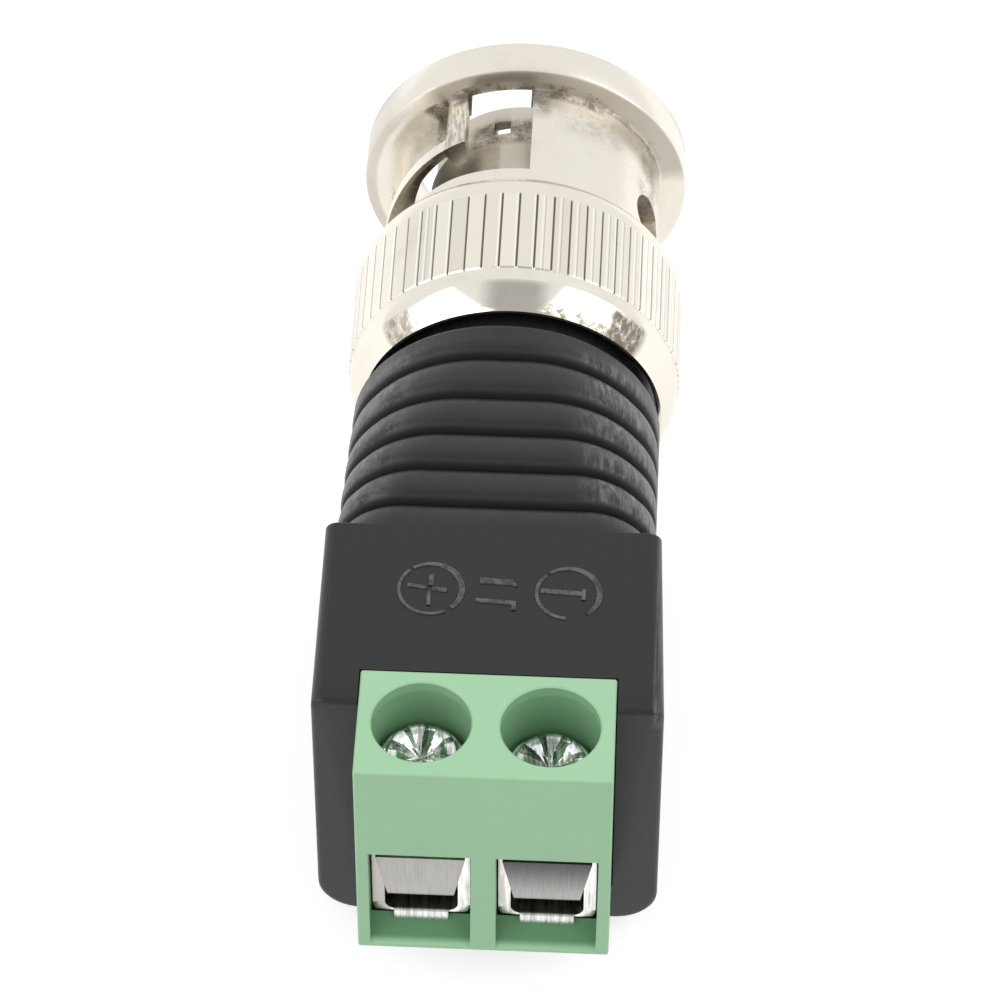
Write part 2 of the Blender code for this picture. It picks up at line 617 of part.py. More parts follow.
def slot_cutters(shift):
    # One bayonet slot, shifted round the axis: window, entry groove, cam slot, detent, pocket
    deep = NUT_BORE - CUT_MARGIN
    proud = SLEEVE_RADIUS + KNURL_GROOVE_DEPTH
    half = STUD_SLOT_WIDTH / 2
    left = ENTRY_ANGLE + WINDOW_ANGLE / 2
    right = ENTRY_ANGLE - WINDOW_ANGLE / 2
    rear = cam_middle(ENTRY_ANGLE) - half
    window = [(angle + shift, rear, FLANGE_REAR) for angle in spread(right, left, WINDOW_STEPS)]
    yield "window", sector(window, deep, proud)
    reach = NUT_BORE + STUD_GROOVE_DEPTH
    stud = half / reach
    mouth = [
        (angle + shift, FLANGE_REAR - half, MOUTH + CUT_MARGIN)
        for angle in spread(ENTRY_ANGLE - stud, ENTRY_ANGLE + stud, WINDOW_STEPS)
    ]
    yield "entry", sector(mouth, deep, reach)
    cam = []
    for angle in spread(ENTRY_ANGLE, CAM_END_ANGLE, CAM_STEPS):
        middle = cam_middle(angle)
        cam.append((angle + shift, middle - half, middle + half))
    last = cam_middle(CAM_END_ANGLE)
    for share, angle in zip(spread(0, 1, 3)[1:], spread(CAM_END_ANGLE, DETENT_ANGLE, 3)[1:]):
        middle = last + DETENT_RISE * share
        cam.append((angle + shift, middle - half, middle + half))
    yield "cam", sector(cam, deep, proud)
    yield "detent", radial_drill(DETENT_ANGLE + shift, last + DETENT_RISE, deep, proud)
    pocket = []
    for angle in spread(left + POST_ANGLE, CAM_END_ANGLE, POCKET_STEPS):
        pocket.append((angle + shift, cam_middle(angle) + half + CAM_STRIP, FLANGE_REAR))
    yield "pocket", sector(pocket, SLEEVE_RADIUS - POCKET_DEPTH, proud)


def radial_drill(angle, along, inner, outer):
    outward = on_axis(angle, 1, 0)
    sideways = on_axis(angle + math.pi / 2, 1, 0)
    rings = []
    for radius in (inner, outer):
        ring = []
        for step in spread(0, math.tau, DETENT_STEPS)[:-1]:
            shift = sideways * (DETENT_RADIUS * math.cos(step))
            rise = Vector((0, along + DETENT_RADIUS * math.sin(step), 0))
            ring.append(outward * radius + shift + rise)
        rings.append(ring)
    return loft(rings)


def make_nut():
    origin = (0, NUT_REAR, 0)
    form = turn(nut_profile(), KNURL_RIBS)
    nut = make_piece("coupling_nut", form, (NICKEL, 0.3, 1.0), origin)
    for number, shift in enumerate((0, math.pi), start=1):
        for name, cutter in slot_cutters(shift):
            cut(nut, name + str(number), cutter)
    cut(nut, "knurl", knurl_cutter())


def knurl_cutter():
    # Straight V grooves between the flat ribs, one at each corner of the turned form
    cutter = bmesh.new()
    start = NUT_REAR + KNURL_START
    half = KNURL_GROOVE_WIDTH / 2 / KNURL_RADIUS
    for number in range(KNURL_RIBS):
        angle = math.tau * number / KNURL_RIBS
        rings = []
        for along in (start, start + KNURL_LENGTH):
            root = on_axis(angle, KNURL_RADIUS - KNURL_GROOVE_DEPTH, along)
            high = KNURL_RADIUS + KNURL_GROOVE_DEPTH
            left = on_axis(angle + 2 * half, high, along)
            right = on_axis(angle - 2 * half, high, along)
            rings.append([cutter.verts.new(point) for point in (root, left, right)])
        cutter.faces.new(rings[0])
        cutter.faces.new(rings[1])
        for here in range(3):
            onward = (here + 1) % 3
            quad = (rings[0][here], rings[0][onward], rings[1][onward], rings[1][here])
            cutter.faces.new(quad)
    return cutter


def washer_profile(rear, front, inner, outer):
    return [(rear, inner), (rear, outer), (front, outer), (front, inner)]


def make_suspension():
    outer = RING_GROOVE_RADIUS - STOP_GAP
    first = math.pi / 2 + RING_OPENING / 2
    angles = spread(first, first + math.tau - RING_OPENING, RING_STEPS)
    ring = [(angle, RING_REAR, RING_FRONT) for angle in angles]
    form = sector(ring, BODY_RADIUS + RING_SIDE_GAP, outer)
    make_piece("retaining_ring", form, (STEEL, 0.35, 1.0), (0, NUT_REAR, 0))

    inner = BODY_RADIUS + 2 * RUNNING_GAP
    rim = BODY_FLANGE_RADIUS
    thrust = washer_profile(THRUST_REAR, THRUST_REAR + THRUST_THICKNESS, inner, rim)
    form = turn(thrust, ROUND_STEPS)
    make_piece("thrust_washer", form, (STEEL, 0.4, 1.0), (0, NUT_REAR, 0))

    height = WAVE_FRONT - WAVE_REAR
    swing = (height - WAVE_THICKNESS) / 2
    rings = []
    for angle in spread(0, math.tau, ROUND_STEPS)[:-1]:
        rear = WAVE_REAR + swing * (1 - math.cos(WAVE_COUNT * angle))
        front = rear + WAVE_THICKNESS
        corners = washer_profile(rear, front, inner, rim)
        rings.append([on_axis(angle, radius, along) for along, radius in corners])
    make_piece("wave_washer", loft(rings, closed=True), (STEEL, 0.3, 1.0))


def make_plug_body():
    seat = CONTACT_REAR - STOP_GAP
    bore = CONTACT_BORE
    profile = [(STEM_REAR, bore), (STEM_REAR, STEM_RADIUS)]
    profile += [(NECK_END + STOP_GAP, STEM_RADIUS), (NECK_END + STOP_GAP, BODY_RADIUS)]
    profile += [(BODY_FLANGE_REAR, BODY_RADIUS), (BODY_FLANGE_REAR, BODY_FLANGE_RADIUS)]
    profile += [(BODY_FLANGE_FRONT, BODY_FLANGE_RADIUS)]
    profile += [(BODY_FLANGE_FRONT, CONTACT_RADIUS + STOP_GAP)]
    profile += [(seat, CONTACT_RADIUS + STOP_GAP), (seat, bore)]
    make_piece("connector_body", turn(profile, ROUND_STEPS), (NICKEL, 0.3, 1.0))

    seal = washer_profile(
        CHAMBER_FRONT_WALL, CHAMBER_FRONT_WALL + GASKET_THICKNESS,
        CONTACT_RADIUS + STOP_GAP, NUT_BORE - RUNNING_GAP,
    )
    make_piece("gasket", turn(seal, ROUND_STEPS), (SILICONE, 0.6, 0.0))


def make_outer_contact():
    # A turned sleeve that steps down to a thinner spigot, with small vents behind its rim
    spigot = CONTACT_RADIUS - SPIGOT_STEP
    sleeve = [(CONTACT_REAR, CONTACT_BORE), (CONTACT_REAR, CONTACT_RADIUS)]
    sleeve += [(SPIGOT_REAR - CONTACT_EDGE, CONTACT_RADIUS), (SPIGOT_REAR, spigot)]
    sleeve += [(CONTACT_FRONT - CONTACT_EDGE, spigot), (CONTACT_FRONT, spigot - CONTACT_EDGE)]
    sleeve += [(CONTACT_FRONT, CONTACT_BORE)]
    contact = make_piece("outer_contact", turn(sleeve, ROUND_STEPS), (NICKEL, 0.25, 1.0))
    start = SPIGOT_REAR + VENT_SETBACK
    half = VENT_WIDTH / 2 / spigot
    for number in range(VENT_COUNT):
        angle = VENT_ANGLE + math.tau * number / VENT_COUNT
        vent = [(side, start, start + VENT_LENGTH) for side in (angle - half, angle + half)]
        cutter = sector(vent, CONTACT_BORE - CUT_MARGIN, CONTACT_RADIUS + CUT_MARGIN)
        cut(contact, "vent" + str(number), cutter)


def make_inner_conductor():
    outer = CONTACT_BORE - STOP_GAP
    bore = PIN_RADIUS + STOP_GAP
    front = MOUTH - DIELECTRIC_RECESS
    shoulder = front - DIELECTRIC_NOSE
    nose = (outer + bore) / 2
    profile = [(STEM_REAR, bore), (STEM_REAR, outer), (shoulder, outer), (shoulder, nose)]
    profile += [(front, nose), (front, bore)]
    make_piece("dielectric", turn(profile, ROUND_STEPS), (WHITE, 0.5, 0.0))

    tip = PIN_RADIUS / 2
    cup_end = STEM_REAR - STOP_GAP
    cup_radius = PIN_RADIUS + PIN_CUP_WALL
    pin = [(PIN_REAR, 0), (PIN_REAR, cup_radius), (cup_end, cup_radius)]
    pin += [(cup_end, PIN_RADIUS), (PIN_FRONT - 2 * tip, PIN_RADIUS)]
    pin += [(PIN_FRONT - tip / 2, PIN_RADIUS - tip / 2), (PIN_FRONT, tip), (PIN_FRONT, 0)]
    form = turn(pin, SMALL_ROUND_STEPS, closed=False)
    make_piece("centre_pin", form, (GOLD, 0.25, 1.0))


def make_lead(name, colour, start, end):
    # A short insulated wire that leaves both of its ends straight along Y
    lead = bpy.data.curves.new(name, "CURVE")
    lead.dimensions = "3D"
    lead.bevel_depth = LEAD_RADIUS
    lead.bevel_resolution = 2
    lead.use_fill_caps = True
    spline = lead.splines.new("POLY")
    spline.points.add(LEAD_STEPS)
    for number, share in enumerate(spread(0, 1, LEAD_STEPS)):
        eased = share * share * (3 - 2 * share)
        along = start[1] + (end[1] - start[1]) * share
        across = start[0] + (end[0] - start[0]) * eased
        up = start[2] + (end[2] - start[2]) * eased
        spline.points[number].co = (across, along, up, 1)
    lead.materials.append(make_material(name, colour, 0.5, 0.0))
    thing = bpy.data.objects.new(name, lead)
    thing.parent = bpy.data.objects["datum"]
    bpy.context.collection.objects.link(thing)


def make_leads():
    # Centre pin to the positive leg, plug body to the negative leg
    height = STRIP_TOP - STRIP_SHEET / 2
    (_, left), (_, right) = pole_places()
    beginning = LEG_END + LEAD_GAP
    make_lead("signal_lead", RED, (left, beginning, height), (0, PIN_REAR - LEAD_GAP, 0))
    middle = (STEM_RADIUS + CONTACT_BORE) / 2
    low = height
    across = math.sqrt(middle ** 2 - low ** 2)
    finish = (across, STEM_REAR - LEAD_GAP, low)
    make_lead("ground_lead", BLACK, (right, beginning, height), finish)


def main():
    clear_scene()
    make_datum()
    make_housing()
    make_block()
    for pole, x in pole_places():
        make_cage(pole, x)
        make_strip(pole, x)
        make_guard(pole, x)
        make_screw(pole, x)
    make_nut()
    make_suspension()
    make_plug_body()
    make_outer_contact()
    make_inner_conductor()
    make_leads()


main()
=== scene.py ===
import math

import bmesh
import bpy
from mathutils import Matrix, Vector


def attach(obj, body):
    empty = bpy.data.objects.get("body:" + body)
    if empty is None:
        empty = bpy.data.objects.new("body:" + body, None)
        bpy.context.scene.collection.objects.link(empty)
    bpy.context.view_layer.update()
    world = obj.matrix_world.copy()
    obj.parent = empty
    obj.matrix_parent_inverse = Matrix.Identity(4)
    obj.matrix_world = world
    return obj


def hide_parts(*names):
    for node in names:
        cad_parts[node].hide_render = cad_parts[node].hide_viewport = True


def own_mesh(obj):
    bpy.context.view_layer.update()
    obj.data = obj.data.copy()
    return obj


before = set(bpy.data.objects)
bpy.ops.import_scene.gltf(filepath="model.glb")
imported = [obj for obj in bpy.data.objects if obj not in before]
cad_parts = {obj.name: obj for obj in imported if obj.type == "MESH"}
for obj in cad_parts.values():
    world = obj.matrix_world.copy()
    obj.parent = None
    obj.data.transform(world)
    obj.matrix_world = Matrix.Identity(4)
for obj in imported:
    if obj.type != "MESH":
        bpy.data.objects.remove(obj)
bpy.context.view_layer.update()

mm = 0.001
axisHeight = 7.19  # the plug's axis over the floor, in mm
frontFace = -20.57  # the block's front face along Y, in mm
poles = {"plus": -2.54, "minus": 2.54}


# places and small forms, in mm from the plug's axis and the block's front face
def spot(x, y, z):
    return Vector((x * mm, (y + frontFace) * mm, (z + axisHeight) * mm))


def cosSin(angle):
    return math.cos(math.radians(angle)), math.sin(math.radians(angle))


def polar(angle, radius, y):
    cosine, sine = cosSin(angle)
    return spot(radius * cosine, y, radius * sine)


def steps(start, end, count):
    return [start + (end - start) * n / count for n in range(count + 1)]


def smooth(low, high, value):
    share = max(0.0, min(1.0, (value - low) / (high - low)))
    return share * share * (3 - 2 * share)


def skin(rings, closedRings=False, caps=True):
    form = bmesh.new()
    rows = [[form.verts.new(point) for point in ring] for ring in rings]
    pairs = list(zip(rows, rows[1:]))
    if closedRings:
        pairs.append((rows[-1], rows[0]))
    for row, following in pairs:
        for here in range(len(row)):
            onward = (here + 1) % len(row)
            form.faces.new((row[here], row[onward], following[onward], following[here]))
    if caps and not closedRings:
        form.faces.new(rows[0])
        form.faces.new(rows[-1])
    return form


def lathe(profile, angles):
    # profile holds (y, radius) points of a closed outline round the plug's axis
    return skin([[polar(angle, radius, y) for y, radius in profile] for angle in angles], closedRings=True)


def latheUpright(profile, count, x, y):
    # profile holds (height, radius) points, from the axis and back to it
    angles = steps(0, math.tau, count)[:-1]
    return skin([[spot(x + r * math.cos(a), y + r * math.sin(a), z) for a in angles] for z, r in profile])


def across(outline, halfWidth, middle=0.0):
    return skin([[spot(x, y, z) for y, z in outline] for x in (middle - halfWidth, middle + halfWidth)])


def along(outline, start, end):
    return skin([[spot(x, y, z) for x, z in outline] for y in (start, end)])


def sector(stations, inner, outer):
    rings = []
    for angle, rear, front in stations:
        corners = ((inner, rear), (outer, rear), (outer, front), (inner, front))
        rings.append([polar(angle, radius, y) for radius, y in corners])
    return skin(rings)


def roundCorner(x, z, radius, start, count=8):
    angles = steps(math.radians(start), math.radians(start + 90), count)
    return [(x + radius * math.cos(a), z + radius * math.sin(a)) for a in angles]


def roundedOutline(half, top, bottom, topRadius, bottomRadius, count=8):
    outline = roundCorner(half - topRadius, top - topRadius, topRadius, 0, count)
    outline += roundCorner(topRadius - half, top - topRadius, topRadius, 90, count)
    outline += roundCorner(bottomRadius - half, bottom + bottomRadius, bottomRadius, 180, count)
    outline += roundCorner(half - bottomRadius, bottom + bottomRadius, bottomRadius, 270, count)
    return outline


def rawObject(name, form):
    bmesh.ops.remove_doubles(form, verts=form.verts, dist=1e-7)
    bmesh.ops.recalc_face_normals(form, faces=form.faces)
    mesh = bpy.data.meshes.new(name)
    form.to_mesh(mesh)
    form.free()
    thing = bpy.data.objects.new(name, mesh)
    bpy.context.scene.collection.objects.link(thing)
    return thing


def settle(thing):
    # turns the modifiers' result into the object's own mesh
    bpy.context.view_layer.update()
    graph = bpy.context.evaluated_depsgraph_get()
    mesh = bpy.data.meshes.new_from_object(thing.evaluated_get(graph))
    thing.modifiers.clear()
    thing.data = mesh


def carve(thing, forms, operation="DIFFERENCE"):
    tools = []
    for number, form in enumerate(forms):
        tool = rawObject(thing.name + "_tool" + str(number), form)
        step = thing.modifiers.new("carve" + str(number), "BOOLEAN")
        step.operation = operation
        step.solver = "EXACT"
        step.object = tool
        tools.append(tool)
    settle(thing)
    for tool in tools:
        bpy.data.objects.remove(tool, do_unlink=True)


def soften(thing, width, segments=2, angle=35):
    step = thing.modifiers.new("soften", "BEVEL")
    step.width = width * mm
    step.segments = segments
    step.limit_method = "ANGLE"
    step.angle_limit = math.radians(angle)
    step.use_clamp_overlap = True
    step.harden_normals = False
    settle(thing)


def dress(thing, material, body, stands=(), sharp=32, weighted=False):
    thing.data.materials.clear()
    thing.data.materials.append(material)
    thing.data.shade_smooth()
    thing.data.set_sharp_from_angle(angle=math.radians(sharp))
    if weighted:
        step = thing.modifiers.new("weighted", "WEIGHTED_NORMAL")
        step.keep_sharp = True
        settle(thing)
    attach(thing, body)
    if stands:
        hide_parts(*stands)
    return thing


# effects that several finishes share
def fill(tree, socket, value):
    if isinstance(value, bpy.types.NodeSocket):
        tree.links.new(value, socket)
    else:
        socket.default_value = value


def put(tree, kind, settings=(), **values):
    # adds a node, sets its options, and fills or links its inputs by name, or by number as in i0
    node = tree.nodes.new(kind)
    for name, value in dict(settings).items():
        setattr(node, name, value)
    for name, value in values.items():
        fill(tree, node.inputs[int(name[1:]) if name[1:].isdigit() else name], value)
    return node


def calculate(tree, operation, first, second=0.0):
    settings = {"operation": operation, "use_clamp": operation == "ADD"}
    return put(tree, "ShaderNodeMath", settings, i0=first, i1=second).outputs[0]


def times(tree, first, *others):
    for other in others:
        first = calculate(tree, "MULTIPLY", first, other)
    return first


def highest(tree, first, *others):
    for other in others:
        first = calculate(tree, "MAXIMUM", first, other)
    return first


def ramp(tree, value, low, high, start=0.0, end=1.0, soft=False):
    settings = {"interpolation_type": "SMOOTHSTEP"} if soft else {}
    node = put(tree, "ShaderNodeMapRange", settings, Value=value, i1=low, i2=high, i3=start, i4=end)
    return node.outputs[0]


def partOf(tree, vector, number):
    return put(tree, "ShaderNodeSeparateXYZ", Vector=vector).outputs[number]


def mixColour(tree, factor, first, second):
    return put(tree, "ShaderNodeMix", {"data_type": "RGBA"}, i0=factor, i6=first, i7=second).outputs[2]


def mixValue(tree, factor, first, second):
    return put(tree, "ShaderNodeMix", {"data_type": "FLOAT"}, i0=factor, i2=first, i3=second).outputs[0]


def scaleVector(tree, vector, scale):
    return put(tree, "ShaderNodeVectorMath", {"operation": "SCALE"}, i0=vector, Scale=scale).outputs[0]


def newGroup(name, inputs, outputs):
    # inputs holds each input's first value: a number, or three for a vector
    group = bpy.data.node_groups.new(name, "ShaderNodeTree")
    for title, value in inputs.items():
        kind = "NodeSocketVector" if isinstance(value, tuple) else "NodeSocketFloat"
        group.interface.new_socket(name=title, in_out="INPUT", socket_type=kind).default_value = value
    for title in outputs:
        group.interface.new_socket(name=title, in_out="OUTPUT", socket_type="NodeSocketFloat")
    return group, group.nodes.new("NodeGroupInput").outputs, group.nodes.new("NodeGroupOutput").inputs


def makeMottle():
    # uneven patches: a coarse and a fine noise, thresholded between Low and High
    inputs = {"Vector": (0.0, 0.0, 0.0), "Scale": 1.0, "Low": 0.45, "High": 0.65}
    group, given, out = newGroup("mottle", inputs, ("Mask", "Height"))
    place, fineScale = given["Vector"], times(group, given["Scale"], 5.3)
    coarse = put(group, "ShaderNodeTexNoise", Vector=place, Scale=given["Scale"], Detail=5.0, Roughness=0.62)
    fine = put(group, "ShaderNodeTexNoise", Vector=place, Scale=fineScale, Detail=3.0, Roughness=0.6)
    both = mixValue(group, 0.35, coarse.outputs["Fac"], fine.outputs["Fac"])
    fill(group, out["Mask"], ramp(group, both, given["Low"], given["High"], soft=True))
    fill(group, out["Height"], both)
    return group


def makeStreaks():
    # fine lines: a noise stretched by Stretch, in lines per mm
    inputs = {"Vector": (0.0, 0.0, 0.0), "Stretch": (1.0, 1.0, 1.0), "Low": 0.3, "High": 0.7}
    group, given, out = newGroup("streaks", inputs, ("Mask", "Height"))
    settings = {"operation": "MULTIPLY"}
    wide = put(group, "ShaderNodeVectorMath", settings, i0=given["Vector"], i1=given["Stretch"])
    noise = put(group, "ShaderNodeTexNoise", Vector=wide.outputs[0], Scale=1.0, Detail=4.0, Roughness=0.7)
    fill(group, out["Mask"], ramp(group, noise.outputs["Fac"], given["Low"], given["High"], soft=True))
    fill(group, out["Height"], noise.outputs["Fac"])
    return group


def makeBand():
    # 1 where Value lies within Width of Centre, falling to 0 over Fade
    group, given, out = newGroup("band", {"Value": 0.0, "Centre": 0.0, "Width": 1.0, "Fade": 0.5}, ("Mask",))
    distance = calculate(group, "ABSOLUTE", calculate(group, "SUBTRACT", given["Value"], given["Centre"]))
    far = put(group, "ShaderNodeMath", {"operation": "ADD"}, i0=given["Width"], i1=given["Fade"]).outputs[0]
    fill(group, out["Mask"], ramp(group, distance, given["Width"], far, 1.0, 0.0, soft=True))
    return group


def makeAround():
    # place round the plug's axis: Angle in degrees from the right, counted over the top, and Radius in mm
    group, given, out = newGroup("around", {"Vector": (0.0, 0.0, 0.0)}, ("Angle", "Radius"))
    x = partOf(group, given["Vector"], 0)
    height = calculate(group, "SUBTRACT", partOf(group, given["Vector"], 2), axisHeight)
    fill(group, out["Angle"], calculate(group, "DEGREES", calculate(group, "ARCTAN2", height, x)))
    flat = put(group, "ShaderNodeCombineXYZ", X=x, Y=height).outputs[0]
    radius = put(group, "ShaderNodeVectorMath", {"operation": "LENGTH"}, i0=flat)
    fill(group, out["Radius"], radius.outputs["Value"])
    return group


mottle = makeMottle()
around = makeAround()
streaks = makeStreaks()
band = makeBand()
print("effects ready")


def useGroup(tree, group, **values):
    return put(tree, "ShaderNodeGroup", {"node_tree": group}, **values).outputs


def patches(tree, place, scale, low, high):
    return useGroup(tree, mottle, Vector=place, Scale=scale, Low=low, High=high)


def lines(tree, place, stretch, low=0.3, high=0.7):
    return useGroup(tree, streaks, Vector=place, Stretch=stretch, Low=low, High=high)


def bandMask(tree, value, centre, width, fade):
    return useGroup(tree, band, Value=value, Centre=centre, Width=width, Fade=fade)["Mask"]


def startMaterial(name):
    material = bpy.data.materials.new(name)
    material.use_nodes = True
    tree = material.node_tree
    place = scaleVector(tree, put(tree, "ShaderNodeTexCoord").outputs["Object"], 1000.0)  # to mm
    return material, tree, tree.nodes["Principled BSDF"], place


def paint(tree, shader, colour, roughness, metal=0.0):
    fill(tree, shader.inputs["Base Color"], colour)
    fill(tree, shader.inputs["Roughness"], roughness)
    shader.inputs["Metallic"].default_value = metal


def addBump(tree, shader, height, strength, distance):
    bump = put(tree, "ShaderNodeBump", Strength=strength, Distance=distance * mm, Height=height)
    tree.links.new(bump.outputs[0], shader.inputs["Normal"])


def rgb(r, g, b):
    return (r, g, b, 1.0)


housingSize = {
    "front": 3.55, "boxEnd": 12.86, "gripEnd": 24.75, "neckEnd": 26.1, "neck": 5.85,
    "half": 6.976, "taper": 0.15, "top": 7.27, "bottom": -6.43,
    "topRadius": 0.50, "bottomRadius": 1.70, "edge": 0.22,
    "step": 0.15, "gripHalf": 6.60, "gripRadius": 2.40, "gripEdge": 0.25, "endFlat": 0.10, "lean": -0.18,
    "grooves": (14.48, 16.53, 18.60, 20.70, 23.0), "grooveDepth": 0.58,
    "riseLength": 0.80, "fallLength": 1.26,
    "pocket": ((3.0, -4.18), (7.66, -4.18), (7.66, 6.29), (5.24, 6.29), (5.24, 8.0), (3.0, 8.0)),
    "pocketHalf": 5.13, "chamber": (4.60, 4.40, -4.13, 0.5, 0.5, 3), "chamberSpan": (7.06, 16.4),
    "bore": 4.45, "boreSpan": (15.8, 26.7),
}
nutGrip = {
    "rear": 25.6, "radius": 7.19, "coneStart": 26.95, "coneEdge": 0.07, "coneTilts": (11.0, 38.0),
    "land": 7.12, "ribs": 60, "ribShift": -0.6, "ribStart": 27.48, "ribEnd": 31.93, "ribEase": 0.06,
    "grooveWidth": 0.11, "grooveDepth": 0.07,
    "shoulderStart": 32.2, "shoulderEnd": 33.42, "shoulderRadius": 6.12,
    "inner": 6.105, "innerStart": 31.9, "chamber": 6.25, "chamberEnd": 29.95, "bore": 4.95,
}
# the groove colour paints shade along the knurl's grooves and the bright colour paints highlight lines on its
# ribs
nickelLook = {
    "clean": rgb(0.835, 0.79, 0.705), "worn": rgb(0.50, 0.46, 0.39), "soil": rgb(0.16, 0.135, 0.105),
    "groove": rgb(0.38, 0.34, 0.27), "bright": rgb(0.95, 0.93, 0.88),
    "roughness": (0.20, 0.30), "soilRoughness": 0.5, "ribTones": (0.93, 1.06), "polished": 0.10,
}
contactLook = dict(nickelLook, roughness=(0.40, 0.50))
contactLook.update(clean=rgb(0.70, 0.665, 0.59), worn=rgb(0.46, 0.43, 0.37), soil=rgb(0.13, 0.105, 0.08))


def dice(tree, value):
    # a random number from 0 to 1 for each value
    return put(tree, "ShaderNodeTexWhiteNoise", {"noise_dimensions": "1D"}, W=value).outputs["Value"]


def drawRibs(tree, colour, y, angle, look):
    # painted light: a reflection tone per rib, painted shade on its edges and up to two painted highlight
    # lines
    turned = calculate(tree, "SUBTRACT", angle, nutGrip["ribShift"])
    turns = calculate(tree, "DIVIDE", turned, 360.0 / nutGrip["ribs"])
    number, share = calculate(tree, "FLOOR", turns), calculate(tree, "FRACT", turns)
    inside = bandMask(tree, y, (nutGrip["ribStart"] + nutGrip["ribEnd"]) / 2 + frontFace, 2.18, 0.06)
    tone = ramp(tree, dice(tree, number), 0.0, 1.0, *look["ribTones"])
    colour = scaleVector(tree, colour, mixValue(tree, inside, 1.0, tone))
    chance = dice(tree, calculate(tree, "SUBTRACT", number, 0.37))
    first = times(tree, calculate(tree, "GREATER_THAN", chance, 0.45), inside)
    # the second, fainter painted highlight line is most often on the right, with a thin dark line beside it
    bias = times(tree, calculate(tree, "LESS_THAN", angle, 86.0), 0.5)
    chance = dice(tree, calculate(tree, "ADD", times(tree, number, 0.0137), 0.3))
    chance = calculate(tree, "ADD", times(tree, chance, 0.5), bias)
    second = times(tree, calculate(tree, "GREATER_THAN", chance, 0.42), inside)
    fromEdge = calculate(tree, "ABSOLUTE", calculate(tree, "SUBTRACT", share, 0.5))
    for place, at, width, fade, mask, strength, tint in (
        (share, 0.13, 0.045, 0.03, first, 1.0, "bright"), (share, 0.62, 0.05, 0.04, second, 0.8, "bright"),
        (share, 0.50, 0.02, 0.03, second, 0.5, "groove"), (fromEdge, 0.5, 0.03, 0.04, inside, 1.0, "groove"),
    ):
        drawn = times(tree, bandMask(tree, place, at, width, fade), mask, strength)
        colour = mixColour(tree, drawn, colour, look[tint])
    return colour


def makeNickel(name, look, marks=(), ribbed=False):
    # each mark holds (middle, half width, fade) along the plug, round it and out from its axis, then the
    # scale and limits of its patches, its share, and True where it is drawn out in lines
    material, tree, shader, place = startMaterial(name)
    y = partOf(tree, place, 1)
    ring = useGroup(tree, around, Vector=place)
    faint = patches(tree, place, 0.30, 0.50, 0.80)["Mask"]
    colour = mixColour(tree, times(tree, faint, 0.30), look["clean"], look["worn"])
    if ribbed:
        colour = drawRibs(tree, colour, y, ring["Angle"], look)
    turned = lines(tree, place, (0.3, 9.0, 0.3))
    rough = mixValue(tree, turned["Mask"], *look["roughness"])
    if ribbed:
        coneStart = nutGrip["coneStart"] + frontFace
        cone = ramp(tree, y, coneStart, coneStart + 0.10, 1.0, 0.0)
        rough = mixValue(tree, cone, rough, look["polished"])
    soil = 0.0
    for (middle, half, fade), sweep, reach, scale, low, high, share, *lined in marks:
        zone = bandMask(tree, y, middle + frontFace, half, fade)
        sweep, reach = bandMask(tree, ring["Angle"], *sweep), bandMask(tree, ring["Radius"], *reach)
        if lined:
            patch = lines(tree, place, (scale, scale * 0.18, scale), low, high)["Mask"]
        else:
            patch = patches(tree, place, scale, low, high)["Mask"]
        soil = highest(tree, soil, times(tree, zone, sweep, reach, patch, share))
    # the marks mix in dirt in some places and painted shade in others, in the same dark colour
    if marks:
        colour = mixColour(tree, soil, colour, look["soil"])
        rough = mixValue(tree, soil, rough, look["soilRoughness"])
    paint(tree, shader, colour, rough, 1.0)
    addBump(tree, shader, turned["Height"], 0.12, 0.006)
    return material


def makeMetal(name, clean, stained, roughness, stretch):
    material, tree, shader, place = startMaterial(name)
    stain, line = patches(tree, place, 0.8, 0.56, 0.78), lines(tree, place, stretch)
    colour = mixColour(tree, stain["Mask"], clean, stained)
    paint(tree, shader, colour, mixValue(tree, line["Mask"], *roughness), 1.0)
    addBump(tree, shader, line["Height"], 0.3, 0.01)
    return material


blackLook = {
    "body": rgb(0.0085, 0.009, 0.0095), "scuffAndSheen": rgb(0.27, 0.27, 0.27), "groove": rgb(0.002, 0.002, 0.002),
    "roughness": (0.34, 0.46), "grooveRoughness": 0.8, "specular": 0.50,
    "grooveReach": 0.10, "grooveFade": 0.32,
    "ribs": (19.0, 4.6, 0.6), "rightShoulder": (46.0, 8.0, 15.0), "leftShoulder": (146.0, 14.0, 12.0),
    "overall": 0.06, "right": 0.85, "left": 0.35, "edge": 0.40,
}


